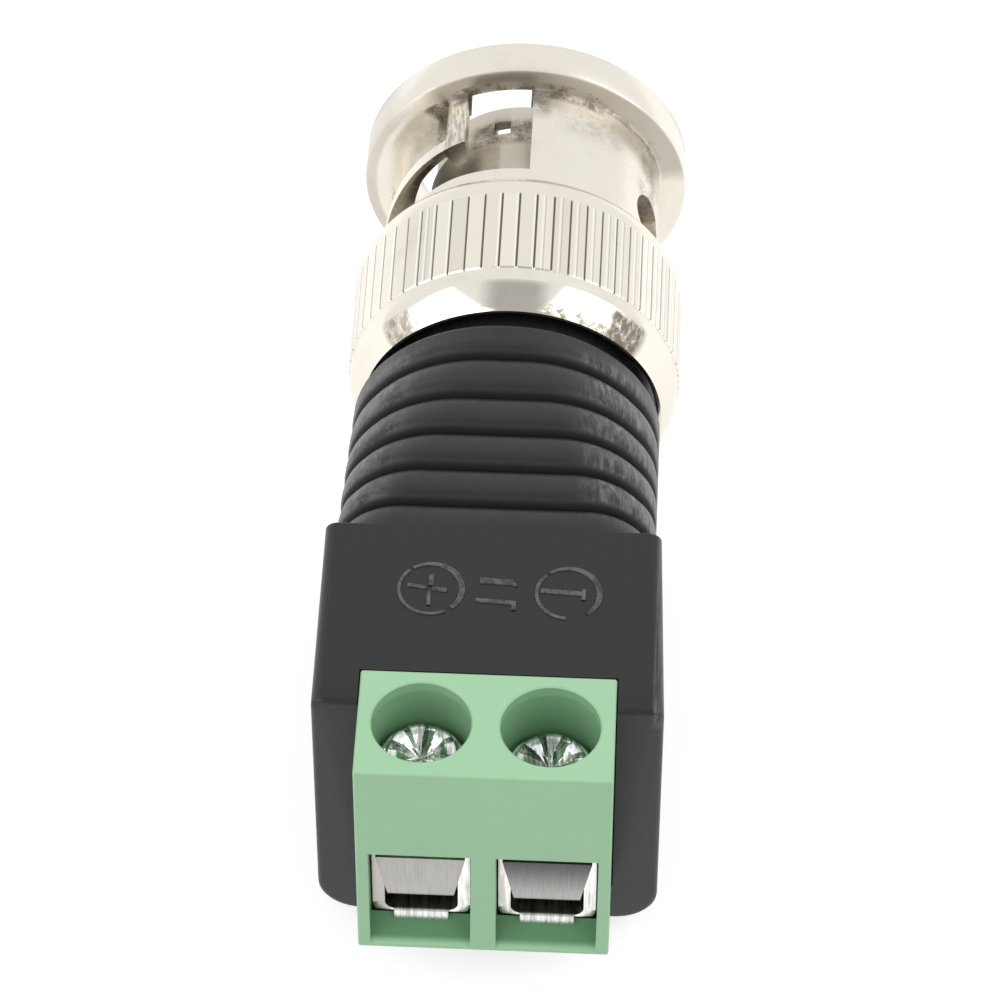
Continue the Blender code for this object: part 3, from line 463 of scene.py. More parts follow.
def makeBlackPlastic(look):
    material, tree, shader, place = startMaterial("black_moulding")
    angle = useGroup(tree, around, Vector=place)["Angle"]
    x, y, z = (partOf(tree, place, number) for number in range(3))
    drawn = lines(tree, place, (7.0, 0.35, 7.0), 0.35, 0.7)
    # painted shade: the grooves between the ribs are painted near black in the groove colour
    half, fade = look["grooveReach"], look["grooveFade"]
    grooves = highest(tree, *(bandMask(tree, y, at + frontFace, half, fade) for at in housingSize["grooves"]))
    # pale rubbed patches on both rib shoulders; on the right, painted sheen too, in short lines along the
    # plug
    middle, half, fade = look["ribs"]
    between = calculate(tree, "SUBTRACT", 1.0, grooves)
    ribs = times(tree, bandMask(tree, y, middle + frontFace, half, fade), between)
    rubbedSheen, blotch = lines(tree, place, (4.5, 0.8, 4.5), 0.36, 0.80), patches(tree, place, 0.9, 0.42, 0.58)
    right = times(tree, bandMask(tree, angle, *look["rightShoulder"]), look["right"], rubbedSheen["Mask"])
    left = times(tree, bandMask(tree, angle, *look["leftShoulder"]), look["left"], blotch["Mask"])
    # and a painted highlight line along the box's right upper edge, where its rounded corner catches the
    # light
    top = bandMask(tree, z, 7.0 + axisHeight, 0.5, 0.3)
    edge = times(tree, bandMask(tree, x, 6.72, 0.14, 0.14), top, look["edge"], drawn["Mask"])
    overall = times(tree, patches(tree, place, 1.4, 0.60, 0.74)["Mask"], look["overall"])
    share = highest(tree, overall, times(tree, highest(tree, right, left), ribs), edge)
    colour = mixColour(tree, share, look["body"], look["scuffAndSheen"])
    rough = mixValue(tree, drawn["Mask"], *look["roughness"])
    rough = mixValue(tree, grooves, rough, look["grooveRoughness"])
    paint(tree, shader, mixColour(tree, grooves, colour, look["groove"]), rough)
    shader.inputs["Specular IOR Level"].default_value = look["specular"]
    addBump(tree, shader, drawn["Height"], 0.35, 0.02)
    return material


signLook = {
    "worn": rgb(0.125, 0.12, 0.115), "dull": rgb(0.035, 0.035, 0.035), "shadedFoot": rgb(0.002, 0.002, 0.002),
}


def makeSignPlastic(look):
    material, tree, shader, place = startMaterial("worn_sign")
    patch = patches(tree, place, 1.3, 0.40, 0.56)
    # painted shade: the foot of each stroke is painted near black below its crest
    crest = ramp(tree, partOf(tree, place, 2), axisHeight + 7.285, axisHeight + 7.325)
    worn = mixColour(tree, patch["Mask"], look["dull"], look["worn"])
    paint(tree, shader, mixColour(tree, crest, look["shadedFoot"], worn), 0.5)
    addBump(tree, shader, patch["Height"], 0.3, 0.02)
    return material


# the deep colour is painted shade for the wire openings and the wells
greenLook = {
    "body": rgb(0.393, 0.672, 0.413), "pale": rgb(0.415, 0.695, 0.43), "deep": rgb(0.07, 0.22, 0.09),
    "roughness": (0.34, 0.46), "specular": 0.40, "openingShade": 0.84, "rim": 0.20, "wellWallShade": 0.22,
}


def makeGreenPlastic(look):
    material, tree, shader, place = startMaterial("green_moulding")
    y, z = partOf(tree, place, 1), partOf(tree, place, 2)
    cloud = patches(tree, place, 0.25, 0.35, 0.7)["Mask"]
    colour = mixColour(tree, cloud, look["body"], look["pale"])
    # painted shade: the wells and the wire openings are painted darker than the outside, the wells in two
    # steps below the rim
    inner = ramp(tree, y, frontFace + 0.04, frontFace + 0.30, soft=True)
    openingShade = times(tree, inner, bandMask(tree, z, axisHeight - 0.9, 2.93, 0.06), look["openingShade"])
    drop = calculate(tree, "SUBTRACT", axisHeight + 7.34, z)
    rim, wall = ramp(tree, drop, 0.06, 0.12), ramp(tree, drop, 0.48, 0.60)
    wellShade = calculate(tree, "ADD", times(tree, rim, look["rim"]), times(tree, wall, look["wellWallShade"]))
    wellShade = times(tree, wellShade, bandMask(tree, y, frontFace + 2.66, 2.05, 0.04))
    grain = lines(tree, place, (6.0, 6.0, 6.0))
    colour = mixColour(tree, highest(tree, openingShade, wellShade), colour, look["deep"])
    paint(tree, shader, colour, mixValue(tree, grain["Mask"], *look["roughness"]))
    shader.inputs["Specular IOR Level"].default_value = look["specular"]
    addBump(tree, shader, grain["Height"], 0.06, 0.01)
    return material


def makePlastic(name, body, pale, roughness):
    material, tree, shader, place = startMaterial(name)
    cloud = patches(tree, place, 1.2, 0.35, 0.7)
    paint(tree, shader, mixColour(tree, cloud["Mask"], body, pale), roughness)
    addBump(tree, shader, cloud["Height"], 0.05, 0.01)
    return material


def makeLeafSteel(name, top, bottom):
    material, tree, shader, place = startMaterial(name)
    line = lines(tree, place, (16.0, 1.0, 0.6), 0.25, 0.75)
    # painted shading: the colour changes from the bottom colour to the top colour up the lip
    rise = ramp(tree, partOf(tree, place, 2), axisHeight - 1.4, axisHeight + 1.3, soft=True)
    tone = mixValue(tree, line["Mask"], 0.82, 1.10)
    paint(tree, shader, scaleVector(tree, mixColour(tree, rise, bottom, top), tone), 0.34, 1.0)
    addBump(tree, shader, line["Height"], 0.3, 0.01)
    return material


stripLook = {
    "bright": rgb(0.85, 0.86, 0.83), "dim": rgb(0.50, 0.52, 0.48),
    "inside": rgb(0.13, 0.115, 0.10), "shadedInsideLine": rgb(0.36, 0.33, 0.30),
}


def makeStripTin(look):
    # bright at the toothed lip; inside the clamp it is painted dark as shade, with lighter lines
    material, tree, shader, place = startMaterial("strip_tin")
    fine = lines(tree, place, (7.0, 0.5, 0.5), 0.38, 0.62)
    lip = mixColour(tree, fine["Mask"], look["dim"], look["bright"])
    inside = mixColour(tree, fine["Mask"], look["inside"], look["shadedInsideLine"])
    depth = ramp(tree, partOf(tree, place, 1), frontFace + 0.74, frontFace + 0.86)
    paint(tree, shader, mixColour(tree, depth, lip, inside), 0.28, 1.0)
    addBump(tree, shader, fine["Height"], 0.4, 0.02)
    return material


cageLook = {
    "bright": rgb(0.92, 0.92, 0.89), "dim": rgb(0.55, 0.53, 0.48),
    "low": rgb(0.16, 0.24, 0.16), "dull": rgb(0.47, 0.45, 0.42),
}


def makeCageTin(look):
    # the plus cage's left wall is dull; both cages get painted shade and green reflection low down
    material, tree, shader, place = startMaterial("cage_tin")
    fine = lines(tree, place, (3.5, 1.2, 0.3), 0.35, 0.60)["Mask"]
    colour = mixColour(tree, fine, look["dim"], look["bright"])
    wall = bandMask(tree, partOf(tree, place, 0), poles["plus"] - 2.2, 0.9, 0.1)
    colour = mixColour(tree, wall, colour, look["dull"])
    sunk = ramp(tree, partOf(tree, place, 2), axisHeight - 2.75, axisHeight - 3.1, soft=True)
    paint(tree, shader, mixColour(tree, sunk, colour, look["low"]), 0.22, 1.0)
    return material


def makeZinc(bright, line):
    # bright plating with grey lines drawn across the head
    material, tree, shader, place = startMaterial("bright_zinc")
    fine = lines(tree, place, (4.5, 0.5, 0.5), 0.42, 0.60)
    paint(tree, shader, mixColour(tree, fine["Mask"], bright, line), 0.16, 1.0)
    addBump(tree, shader, fine["Height"], 0.5, 0.03)
    return material


gripNickel = makeNickel("nickel_grip", nickelLook, (
    ((25.95, 0.50, 0.20), (136.0, 5.0, 3.0), (6.9, 0.5, 0.2), 4.0, 0.30, 0.62, 0.75, True),
    ((26.0, 0.60, 0.25), (45.0, 6.0, 4.0), (6.9, 0.5, 0.2), 4.0, 0.28, 0.56, 0.95, True),
    ((25.75, 0.15, 0.25), (64.0, 12.0, 8.0), (6.8, 0.5, 0.2), 3.0, 0.44, 0.60, 0.75),
), ribbed=True)
sleeveNickel = makeNickel("nickel_sleeve", nickelLook, (
    ((39.2, 0.22, 0.30), (90.0, 28.0, 14.0), (5.9, 0.60, 0.25), 1.3, 0.34, 0.60, 0.85),
    ((39.25, 0.05, 0.25), (42.0, 22.0, 10.0), (6.1, 0.30, 0.25), 1.4, 0.34, 0.62, 0.60),
    # painted shade: an almost even darkening of the flange's rear face over the top and right, dimming its
    # reflection
    ((39.30, 0.05, 0.05), (68.0, 55.0, 10.0), (6.65, 0.45, 0.1), 0.8, 0.0, 0.35, 0.45),
    ((38.7, 0.40, 0.9), (84.5, 1.6, 6.0), (5.8, 0.5, 0.2), 1.2, 0.30, 0.66, 0.85),
    ((38.1, 0.5, 1.0), (60.0, 9.0, 10.0), (5.9, 0.4, 0.2), 0.9, 0.36, 0.74, 0.45),
    ((37.4, 1.4, 1.0), (24.0, 5.0, 8.0), (5.9, 0.6, 0.2), 1.2, 0.38, 0.66, 0.60),
    # painted shade: dark patches in the pocket next to the post, and a softer grey further left
    ((38.4, 0.9, 0.5), (129.0, 4.0, 5.0), (5.7, 0.6, 0.2), 1.4, 0.26, 0.56, 0.90),
    ((38.6, 0.9, 1.0), (142.0, 12.0, 10.0), (5.7, 0.6, 0.2), 0.7, 0.20, 0.80, 0.45),
    ((38.0, 1.5, 0.3), (119.0, 5.0, 1.0), (6.1, 0.2, 0.2), 7.0, 0.42, 0.60, 0.55, True),
    # painted shade: a faint, almost even darkening of the flange's outer face on the left and lower left
    ((40.2, 1.2, 0.3), (164.0, 14.0, 16.0), (7.1, 0.3, 0.2), 0.5, 0.0, 0.12, 0.26),
    ((40.2, 1.2, 0.3), (-172.0, 10.0, 20.0), (7.1, 0.3, 0.2), 0.5, 0.0, 0.12, 0.30),
))
contactNickel = makeNickel("nickel_contact", contactLook, (
    # painted shade: the contact's top round the vent, under the flange
    ((38.7, 0.55, 0.5), (104.0, 16.0, 10.0), (3.9, 0.5, 0.3), 1.6, 0.30, 0.62, 0.80),
    # painted shade: the left side of the contact's base
    ((35.5, 3.2, 0.3), (160.0, 8.0, 30.0), (4.2, 0.3, 0.2), 1.0, 0.0, 0.40, 0.95),
    ((35.5, 3.2, 0.3), (124.0, 18.0, 3.0), (4.2, 0.3, 0.2), 0.8, 0.1, 0.80, 0.40),
))
nickel = makeNickel("nickel_plain", nickelLook)
blackPlastic = makeBlackPlastic(blackLook)
signPlastic = makeSignPlastic(signLook)
greenPlastic = makeGreenPlastic(greenLook)
# painted shading: the minus leaf is painted much darker at the top, the plus leaf slightly
leafFinish = {
    "plus": makeLeafSteel("brushed_leaf_plus", rgb(0.41, 0.40, 0.375), rgb(0.46, 0.44, 0.42)),
    "minus": makeLeafSteel("brushed_leaf_minus", rgb(0.10, 0.105, 0.105), rgb(0.44, 0.43, 0.42)),
}
stripTin = makeStripTin(stripLook)
cageTin = makeCageTin(cageLook)
zinc = makeZinc(rgb(0.96, 0.97, 0.95), rgb(0.34, 0.37, 0.35))
springSteel = makeMetal(
    "spring_steel", rgb(0.56, 0.56, 0.55), rgb(0.35, 0.34, 0.33), (0.28, 0.42), (5.0, 5.0, 5.0)
)
gold = makeMetal("pin_gold", rgb(0.86, 0.62, 0.26), rgb(0.60, 0.42, 0.18), (0.15, 0.26), (1.0, 8.0, 1.0))
whitePlastic = makePlastic("white_insulator", rgb(0.80, 0.80, 0.77), rgb(0.86, 0.86, 0.83), 0.45)
sealRubber = makePlastic("seal_rubber", rgb(0.42, 0.12, 0.08), rgb(0.50, 0.16, 0.10), 0.6)
redSleeve = makePlastic("red_sleeve", rgb(0.42, 0.03, 0.03), rgb(0.50, 0.05, 0.04), 0.45)
darkSleeve = makePlastic("dark_sleeve", rgb(0.03, 0.03, 0.033), rgb(0.05, 0.05, 0.05), 0.45)
print("finishes ready")

# coupling nut: a ribbed grip at the rear and a slotted sleeve with a flange in front
def makeNutGrip(size):
    pitch = 360.0 / size["ribs"]
    half = math.degrees(size["grooveWidth"] / 2 / size["radius"])
    angles = []
    for rib in range(size["ribs"]):
        start = rib * pitch + size["ribShift"]
        angles += [(start - half, "edge", rib), (start, "root", rib), (start + half, "edge", rib)]
        angles += [(start + half + (pitch - 2 * half) * share, "face", rib) for share in (0.25, 0.5, 0.75)]
    halfFace = math.radians(pitch / 2 - half)

    def ribRadius(angle, kind, rib):
        if kind == "root":
            return size["radius"] - size["grooveDepth"]
        middle = (rib + 0.5) * pitch + size["ribShift"]
        away = math.radians(abs((angle - middle + 180) % 360 - 180))
        return size["radius"] * math.cos(halfFace) / math.cos(min(away, halfFace))

    # the rear is a domed cone: its tilt grows from the land to the edge
    cone, fall = [], 0.0
    length = size["coneStart"] - size["rear"] - size["coneEdge"]
    for share in steps(0, 1, 12):
        cone.append((size["coneStart"] - length * share, size["land"] - fall))
        tilt = size["coneTilts"][0] + (size["coneTilts"][1] - size["coneTilts"][0]) * (share + 1 / 24)
        fall += length / 12 * math.tan(math.radians(tilt))
    profile = [(size["rear"], size["chamber"] + 0.08), (size["rear"], cone[-1][1] - size["coneEdge"])]
    profile += cone[::-1]
    start, end, ease = size["ribStart"], size["ribEnd"], size["ribEase"]
    profile += [(start, size["land"])]
    profile += [(start + ease, "rib"), (end - ease, "rib"), (end, size["land"])]
    shoulder = size["shoulderEnd"] - size["shoulderStart"]
    for cosine, sine in map(cosSin, steps(0, 90, 10)):
        radius = size["shoulderRadius"] + (size["land"] - size["shoulderRadius"]) * cosine
        profile.append((size["shoulderStart"] + shoulder * sine, radius))
    profile += [(size["shoulderEnd"], size["inner"]), (size["innerStart"], size["inner"])]
    profile += [(y, size["bore"] + 0.3) for y in (size["innerStart"], size["chamberEnd"])]
    profile += [(size["chamberEnd"], size["chamber"]), (size["rear"] + 0.08, size["chamber"])]
    rings = []
    for angle, kind, rib in angles:
        crest = ribRadius(angle, kind, rib)
        rings.append([polar(angle, crest if radius == "rib" else radius, y) for y, radius in profile])
    grip = rawObject("nut_grip", skin(rings, closedRings=True))
    return dress(grip, gripNickel, "nut", ["coupling_nut"], sharp=28)


nutSleeve = {
    "start": 31.5, "radius": 6.10, "bore": 4.95, "flangeRear": 39.31, "mouth": 41.14, "flange": 7.19,
    "flangeEdge": 0.13, "edge": 0.045, "entry": 100.3, "window": 27.6, "windowRear": 34.40, "post": 10.0,
    "camEnd": 190.0, "camStart": 35.45, "camDrop": 2.00, "camEase": 1.6,
    "detent": 203.0, "detentRise": 1.70, "detentRadius": 1.15,
    "slotWidth": 2.10, "strip": 0.60, "stripShell": 5.90, "pocketFloor": 5.50, "entryFloor": 6.04,
    "entryMargin": 1.0, "sideSlant": 10.0, "undercut": 1.75, "undercutRadius": 5.36,
}


def camMiddle(size, angle):
    start = size["entry"] + size["window"] / 2
    share = max(0.0, min(1.0, (angle - start) / (size["camEnd"] - start)))
    return size["camStart"] - size["camDrop"] * share ** size["camEase"]


def slotForms(size, shift):
    deep, proud = size["bore"] - 0.6, size["radius"] + 0.2
    half, rear, beyond = size["slotWidth"] / 2, size["flangeRear"], size["mouth"] + 0.6
    right, left = size["entry"] - size["window"] / 2, size["entry"] + size["window"] / 2
    slanted = left + size["sideSlant"]

    def camBand(start, end, count, low, high):
        # stations along the cam, from low to high off its middle line
        stations = [(a, camMiddle(size, a)) for a in steps(start, end, count)]
        return [(a + shift, y + low, y + high) for a, y in stations]

    def wedge(start, end, *corners):
        return skin([[polar(angle + shift, radius, y) for angle, radius in corners] for y in (start, end)])

    yield sector([(a + shift, size["windowRear"], rear) for a in steps(right, left, 12)], deep, proud)
    # the window's side by the post and the slot's front side lean, so that the wall looks thin from the rear
    yield wedge(size["windowRear"], rear, (left - 3, deep), (left - 3, proud), (left, proud), (slanted, deep))
    # the strip behind the slot is thinner inside, along the cam
    inner = camBand(left + size["post"] + 2, size["camEnd"], 30, half - 0.3, half + size["undercut"])
    yield sector(inner, deep, size["undercutRadius"])
    inner = camBand(left + size["post"] + 2, size["camEnd"] - 2, 30, half - 0.3, half + size["strip"] - 0.1)
    yield sector(inner, deep - 0.05, size["stripShell"])
    # the entry groove runs from the window through the flange
    margin, floor = size["entryMargin"], size["entryFloor"]
    corners = ((left - 4, deep), (left - 4, floor), (left - margin, floor), (slanted, deep))
    yield wedge(rear - 0.2, beyond, *corners)
    entry = [(a + shift, rear - half, beyond) for a in steps(right + margin, left - margin, 10)]
    yield sector(entry, deep, floor)
    cam = camBand(size["entry"], size["camEnd"], 48, -half, half)
    last = camMiddle(size, size["camEnd"])
    for share in (0.2, 0.4, 0.6, 0.8, 1.0):
        middle = last + size["detentRise"] * share
        angle = size["camEnd"] + (size["detent"] - size["camEnd"]) * share + shift
        cam.append((angle, middle - half, middle + half))
    yield sector(cam, deep, proud)
    rings = []
    for radius in (deep, proud):
        ring = []
        for a in steps(0, math.tau, 40)[:-1]:
            sideways = math.degrees(size["detentRadius"] * math.cos(a) / radius)
            y = last + size["detentRise"] + size["detentRadius"] * math.sin(a)
            ring.append(polar(size["detent"] + shift + sideways, radius, y))
        rings.append(ring)
    yield skin(rings)
    pocket = camBand(left + size["post"], size["camEnd"], 40, half + size["strip"], 0.0)
    yield sector([(a, low, rear) for a, low, _ in pocket], size["pocketFloor"], proud)


def makeNutSleeve(size):
    edge, rear, mouth, flange = size["flangeEdge"], size["flangeRear"], size["mouth"], size["flange"]
    profile = [(size["start"], size["bore"]), (size["start"], size["radius"])]
    profile += [(y, size["radius"]) for y in (33.5, 34.5, 35.5, 36.5, 37.5, 38.5, rear - 0.12)]
    profile += [(rear - 0.035, size["radius"] + 0.035), (rear, size["radius"] + 0.12), (rear, flange - edge)]
    profile += [(rear + edge * 0.3, flange - edge * 0.3), (rear + edge, flange), (mouth - edge, flange)]
    profile += [(mouth - edge * 0.3, flange - edge * 0.3), (mouth, flange - edge)]
    profile += [(mouth, size["bore"] + 0.3), (mouth - 0.09, size["bore"] + 0.09)]
    profile += [(y, size["bore"]) for y in (mouth - 0.3, 39.8, 38.5, 37.0, 35.5, 34.0)]
    sleeve = rawObject("nut_sleeve", lathe(profile, steps(0, 360, 240)[:-1]))
    forms = list(slotForms(size, 0.0)) + list(slotForms(size, 180.0))
    carve(sleeve, forms)
    soften(sleeve, size["edge"], 2, 40)
    return dress(sleeve, sleeveNickel, "nut", ["coupling_nut"], sharp=40, weighted=True)


makeNutGrip(nutGrip)
makeNutSleeve(nutSleeve)
print("nut ready")

# plug: vented outer contact, insulator, pin and wave washer inside the nut
contactSize = {
    "rear": 27.1, "front": 40.36, "radius": 4.20, "bore": 3.50, "edge": 0.12,
    "spigotRear": 38.50, "spigot": 4.0, "vents": 4, "ventAt": 105.0, "ventStart": 38.70, "ventSize": 0.75,
}


def makeContact(size):
    edge = size["edge"]
    profile = [(size["rear"], size["bore"]), (size["rear"], size["radius"])]
    profile += [(y, size["radius"]) for y in (29.0, 31.0, 33.0, 35.0, 37.0)]
    for radius, front in ((size["radius"], size["spigotRear"]), (size["spigot"], size["front"])):
        for cosine, sine in map(cosSin, steps(0, 75, 5)):
            profile.append((front - edge * (1 - sine), radius - edge * (1 - cosine)))
        if radius == size["radius"]:
            profile += [(front, size["spigot"]), (front + 0.6, size["spigot"])]
    profile += [(size["front"], size["bore"] + 0.08), (size["front"] - 0.08, size["bore"])]
    contact = rawObject("contact_sleeve", lathe(profile, steps(0, 360, 144)[:-1]))
    forms = []
    half = math.degrees(size["ventSize"] / 2 / size["spigot"])
    span = (size["ventStart"], size["ventStart"] + size["ventSize"])
    for number in range(size["vents"]):
        middle = size["ventAt"] + 360.0 / size["vents"] * number
        sides = [(a, *span) for a in (middle - half, middle + half)]
        forms.append(sector(sides, size["bore"] - 0.3, size["radius"] + 0.6))
    carve(contact, forms)
    soften(contact, 0.03, 2, 40)
    return dress(contact, contactNickel, "adapter", ["outer_contact"], sharp=40, weighted=True)


makeContact(contactSize)


insulatorSize = {
    "rear": 17.0, "outer": 3.45, "shoulder": 32.04, "nose": 2.0925, "front": 37.54, "bore": 0.735,
}
pinSize = {"rear": 14.45, "cup": 0.95, "cupEnd": 16.4, "radius": 0.685, "tip": 37.94, "round": 0.75}


def makeInsulator(size):
    rear, front, shoulder = size["rear"], size["front"], size["shoulder"]
    outer, nose, bore = size["outer"], size["nose"], size["bore"]
    profile = [(rear, bore), (rear, outer), (shoulder - 0.08, outer), (shoulder, outer - 0.08)]
    profile += [(shoulder, nose), (front - 0.12, nose), (front - 0.03, nose - 0.04)]
    profile += [(front, nose - 0.12), (front, bore)]
    piece = rawObject("insulator_core", lathe(profile, steps(0, 360, 96)[:-1]))
    return dress(piece, whitePlastic, "adapter", ["dielectric"], sharp=40)


def makePin(size):
    rear, radius, tip, nose = size["rear"], size["radius"], size["tip"], size["round"]
    profile = [(rear, 0.0), (rear, size["cup"]), (size["cupEnd"], size["cup"]), (size["cupEnd"], radius)]
    profile.append((tip - nose, radius))
    for cosine, sine in map(cosSin, steps(0, 90, 8)):
        profile.append((tip - nose + nose * sine, radius * (0.35 + 0.65 * cosine)))
    profile.append((tip, 0.0))
    piece = rawObject("pin_core", lathe(profile, steps(0, 360, 48)[:-1]))
    return dress(piece, gold, "adapter", ["centre_pin"], sharp=40)


makeInsulator(insulatorSize)
makePin(pinSize)

waveSize = {
    "rear": 27.50, "front": 28.95, "sheet": 0.25, "edge": 0.05, "inner": 5.05, "outer": 6.15, "waves": 3,
}


def makeWaveWasher(size):
    edge, inner, outer = size["edge"], size["inner"], size["outer"]
    height = size["front"] - size["rear"]
    rings = []
    for angle in steps(0, 360, 144)[:-1]:
        rise = (height - size["sheet"]) / 2 * (1 - math.cos(math.radians(size["waves"] * angle)))
        rear, front = size["rear"] + rise, size["rear"] + rise + size["sheet"]
        corners = [(rear, inner + edge), (rear, outer - edge), (rear + edge, outer), (front - edge, outer)]
        corners += [(front, outer - edge), (front, inner + edge), (front - edge, inner), (rear + edge, inner)]
        rings.append([polar(angle, radius, y) for y, radius in corners])
    washer = rawObject("wave_spring", skin(rings, closedRings=True))
    dress(washer, springSteel, "adapter", ["wave_washer"], sharp=40)
    # the nut's slide presses the waves flat against the body's flange; here the washer just gets its own mesh
    # copy
    tuple(spot(0, size["front"], 0))
    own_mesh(washer)
    return washer


makeWaveWasher(waveSize)
print("plug ready")

# housing: square box that turns round along the ribbed grip
def outlineWithNormals(half, top, bottom, topRadius, bottomRadius):
    # points round the section with the way each one faces, so that ribs can sink along it
    low = bottom + bottomRadius
    corners = (
        (half - topRadius, top - topRadius, topRadius), (topRadius - half, top - topRadius, topRadius),
        (bottomRadius - half, low, bottomRadius), (half - bottomRadius, low, bottomRadius),
    )
    arcs = []
    for number, (x, z, radius) in enumerate(corners):
        turns = [(*cosSin(a), a) for a in steps(90 * number, 90 * number + 90, 18)]
        arcs.append([(x + radius * cosine, z + radius * sine, a) for cosine, sine, a in turns])
    points = []
    for number, arc in enumerate(arcs):
        points += arc
        x0, z0, a0 = arc[-1]
        x1, z1, _ = arcs[(number + 1) % 4][0]
        points += [(x0 + (x1 - x0) * s, z0 + (z1 - z0) * s, a0) for s in steps(0, 1, 8)[1:-1]]
    return points


def grooveDepth(size, y):
    # each rib climbs quickly in front of its groove and falls slowly to the next one
    depth = 0.0
    for middle in size["grooves"]:
        near = 1 - abs(y - middle) / (size["riseLength"] if y > middle else size["fallLength"])
        if near > 0:
            depth = max(depth, size["grooveDepth"] * (0.45 * near ** 2 + 0.55 * near ** 7))
    return depth


def housingRing(size, y, inset=0.0):
    if y <= size["boxEnd"]:
        share = (y - size["front"]) / (size["boxEnd"] - size["front"])
        half = size["half"] - size["taper"] * share - inset
        top, bottom = size["top"] - inset, size["bottom"] + inset
        points = outlineWithNormals(half, top, bottom, size["topRadius"], size["bottomRadius"])
        return [spot(x + size["lean"] * share, y, z) for x, z, _ in points]
    share = min(1.0, (y - size["boxEnd"]) / (size["gripEnd"] - size["boxEnd"]))
    endRadius = size["gripHalf"] - size["endFlat"]
    radius = size["gripRadius"] + (endRadius - size["gripRadius"]) * share
    top = (size["top"] - size["step"]) * (1 - share) + size["gripHalf"] * share
    bottom = (size["bottom"] + size["step"] / 2) * (1 - share) - size["gripHalf"] * share
    ring = []
    for x, z, a in outlineWithNormals(size["gripHalf"], top, bottom, radius, radius):
        cosine, sine = cosSin(a)
        side = smooth(0.80, 1.0, abs(cosine))
        depth = inset + grooveDepth(size, y) * (1 - 0.55 * side)
        ring.append(spot(x + size["lean"] - cosine * depth, y, z - sine * depth))
    return ring


def makeHousing(size):
    edge, gripEdge = size["edge"], size["gripEdge"]
    rings = [housingRing(size, size["front"], edge)]
    rings[0] = [Vector((p.x, spot(0, size["front"], 0).y, p.z)) for p in rings[0]]
    for cosine, sine in map(cosSin, steps(0, 90, 4)[1:]):
        rings.append(housingRing(size, size["front"] + edge * (1 - cosine), edge * (1 - sine)))
    for y in (5.0, 7.0, 9.0, 11.0, 12.5, size["boxEnd"] - 0.05):
        rings.append(housingRing(size, y))
    rings.append(housingRing(size, size["boxEnd"], 0.04))
    for y in steps(size["boxEnd"] + 0.12, size["gripEnd"] - gripEdge, 260):
        rings.append(housingRing(size, y))
    for cosine, sine in map(cosSin, steps(0, 90, 5)[1:]):
        rings.append(housingRing(size, size["gripEnd"] - gripEdge * (1 - sine), gripEdge * (1 - cosine)))
    for y in (size["gripEnd"], size["neckEnd"]):
        inner = housingRing(size, size["gripEnd"], size["gripHalf"] - size["neck"])
        rings.append([Vector((p.x - size["lean"] * mm, spot(0, y, 0).y, p.z)) for p in inner])
    housing = rawObject("grip_housing", skin(rings))
    chamber = along(roundedOutline(*size["chamber"]), *size["chamberSpan"])
    start, end = size["boreSpan"]
    bore = [(start, 0.0), (start, size["bore"]), (end, size["bore"]), (end, 0.0)]
    carve(housing, [across(size["pocket"], size["pocketHalf"]), chamber, lathe(bore, steps(0, 360, 96)[:-1])])
    return dress(housing, blackPlastic, "adapter", ["housing"], sharp=38)


makeHousing(housingSize)

signSize = {
    "y": 9.50, "plusX": -2.56, "minusX": 2.97, "circle": 1.27, "line": 0.145, "rise": 0.075, "base": 7.262,
}


def ridge(points, size):
    # a low rounded rib on the housing's top that follows (x, y, half width) points
    rings = []
    for number, (x, y, half) in enumerate(points):
        before, after = points[max(0, number - 1)], points[min(len(points) - 1, number + 1)]
        way = Vector((after[0] - before[0], after[1] - before[1]))
        way.normalize()
        ring = []
        for cosine, sine in map(cosSin, steps(-10, 190, 8)):
            sideways, up = half * cosine, size["rise"] * sine
            ring.append(spot(x + way.y * sideways, y - way.x * sideways, size["base"] + up))
        rings.append(ring)
    return skin(rings)


def makeSigns(size):
    y, line = size["y"], size["line"]

    def arc(x, start, end, heavy):
        # the stroke is heaviest on the right of the circle
        points = []
        for a in steps(math.radians(start), math.radians(end), 64):
            half = line * (0.62 + heavy * max(0.0, math.cos(a - 0.35)))
            points.append((x + size["circle"] * math.cos(a), y + 1.02 * size["circle"] * math.sin(a), half))
        return points

    def stroke(x0, y0, x1, y1, half):
        return [(x0 + (x1 - x0) * s, y + y0 + (y1 - y0) * s, half) for s in (0.0, 0.04, 0.5, 0.96, 1.0)]

    plus, minus = size["plusX"], size["minusX"]
    strokes = {
        "sign_plus_arc": arc(plus, -48, 126, 0.45), "sign_plus_back": arc(plus, 134, 300, 0.0),
        "sign_plus_left": stroke(plus - 0.92, 0.16, plus - 0.18, 0.06, line * 0.8),
        "sign_plus_right": stroke(plus + 0.06, 0.02, plus + 0.66, -0.06, line * 0.9),
        "sign_plus_far": stroke(plus + 0.02, 0.16, plus, 0.72, line * 0.9),
        "sign_plus_near": stroke(plus - 0.04, -0.86, plus - 0.06, -0.16, line * 0.7),
        "sign_equal_far": stroke(-0.60, 0.52, 0.76, 0.46, line * 1.25),
        "sign_equal_hook": stroke(0.74, 0.50, 0.88, 0.26, line * 0.6),
        "sign_equal_near": stroke(-0.74, -0.50, 0.80, -0.60, line * 0.9),
        "sign_equal_foot": stroke(0.80, -0.52, 0.82, -0.98, line * 0.8),
        "sign_minus_arc": arc(minus, -52, 128, 0.45), "sign_minus_back": arc(minus, 136, 268, 0.25),
        "sign_minus_bar": stroke(minus - 1.12, 0.10, minus + 0.62, 0.0, line),
        "sign_minus_tick": stroke(minus + 0.64, 0.22, minus + 0.62, -0.32, line * 0.7),
    }
    for name, points in strokes.items():
        piece = rawObject(name, ridge(points, size))
        dress(piece, signPlastic, "adapter", sharp=60)


makeSigns(signSize)
print("housing ready")

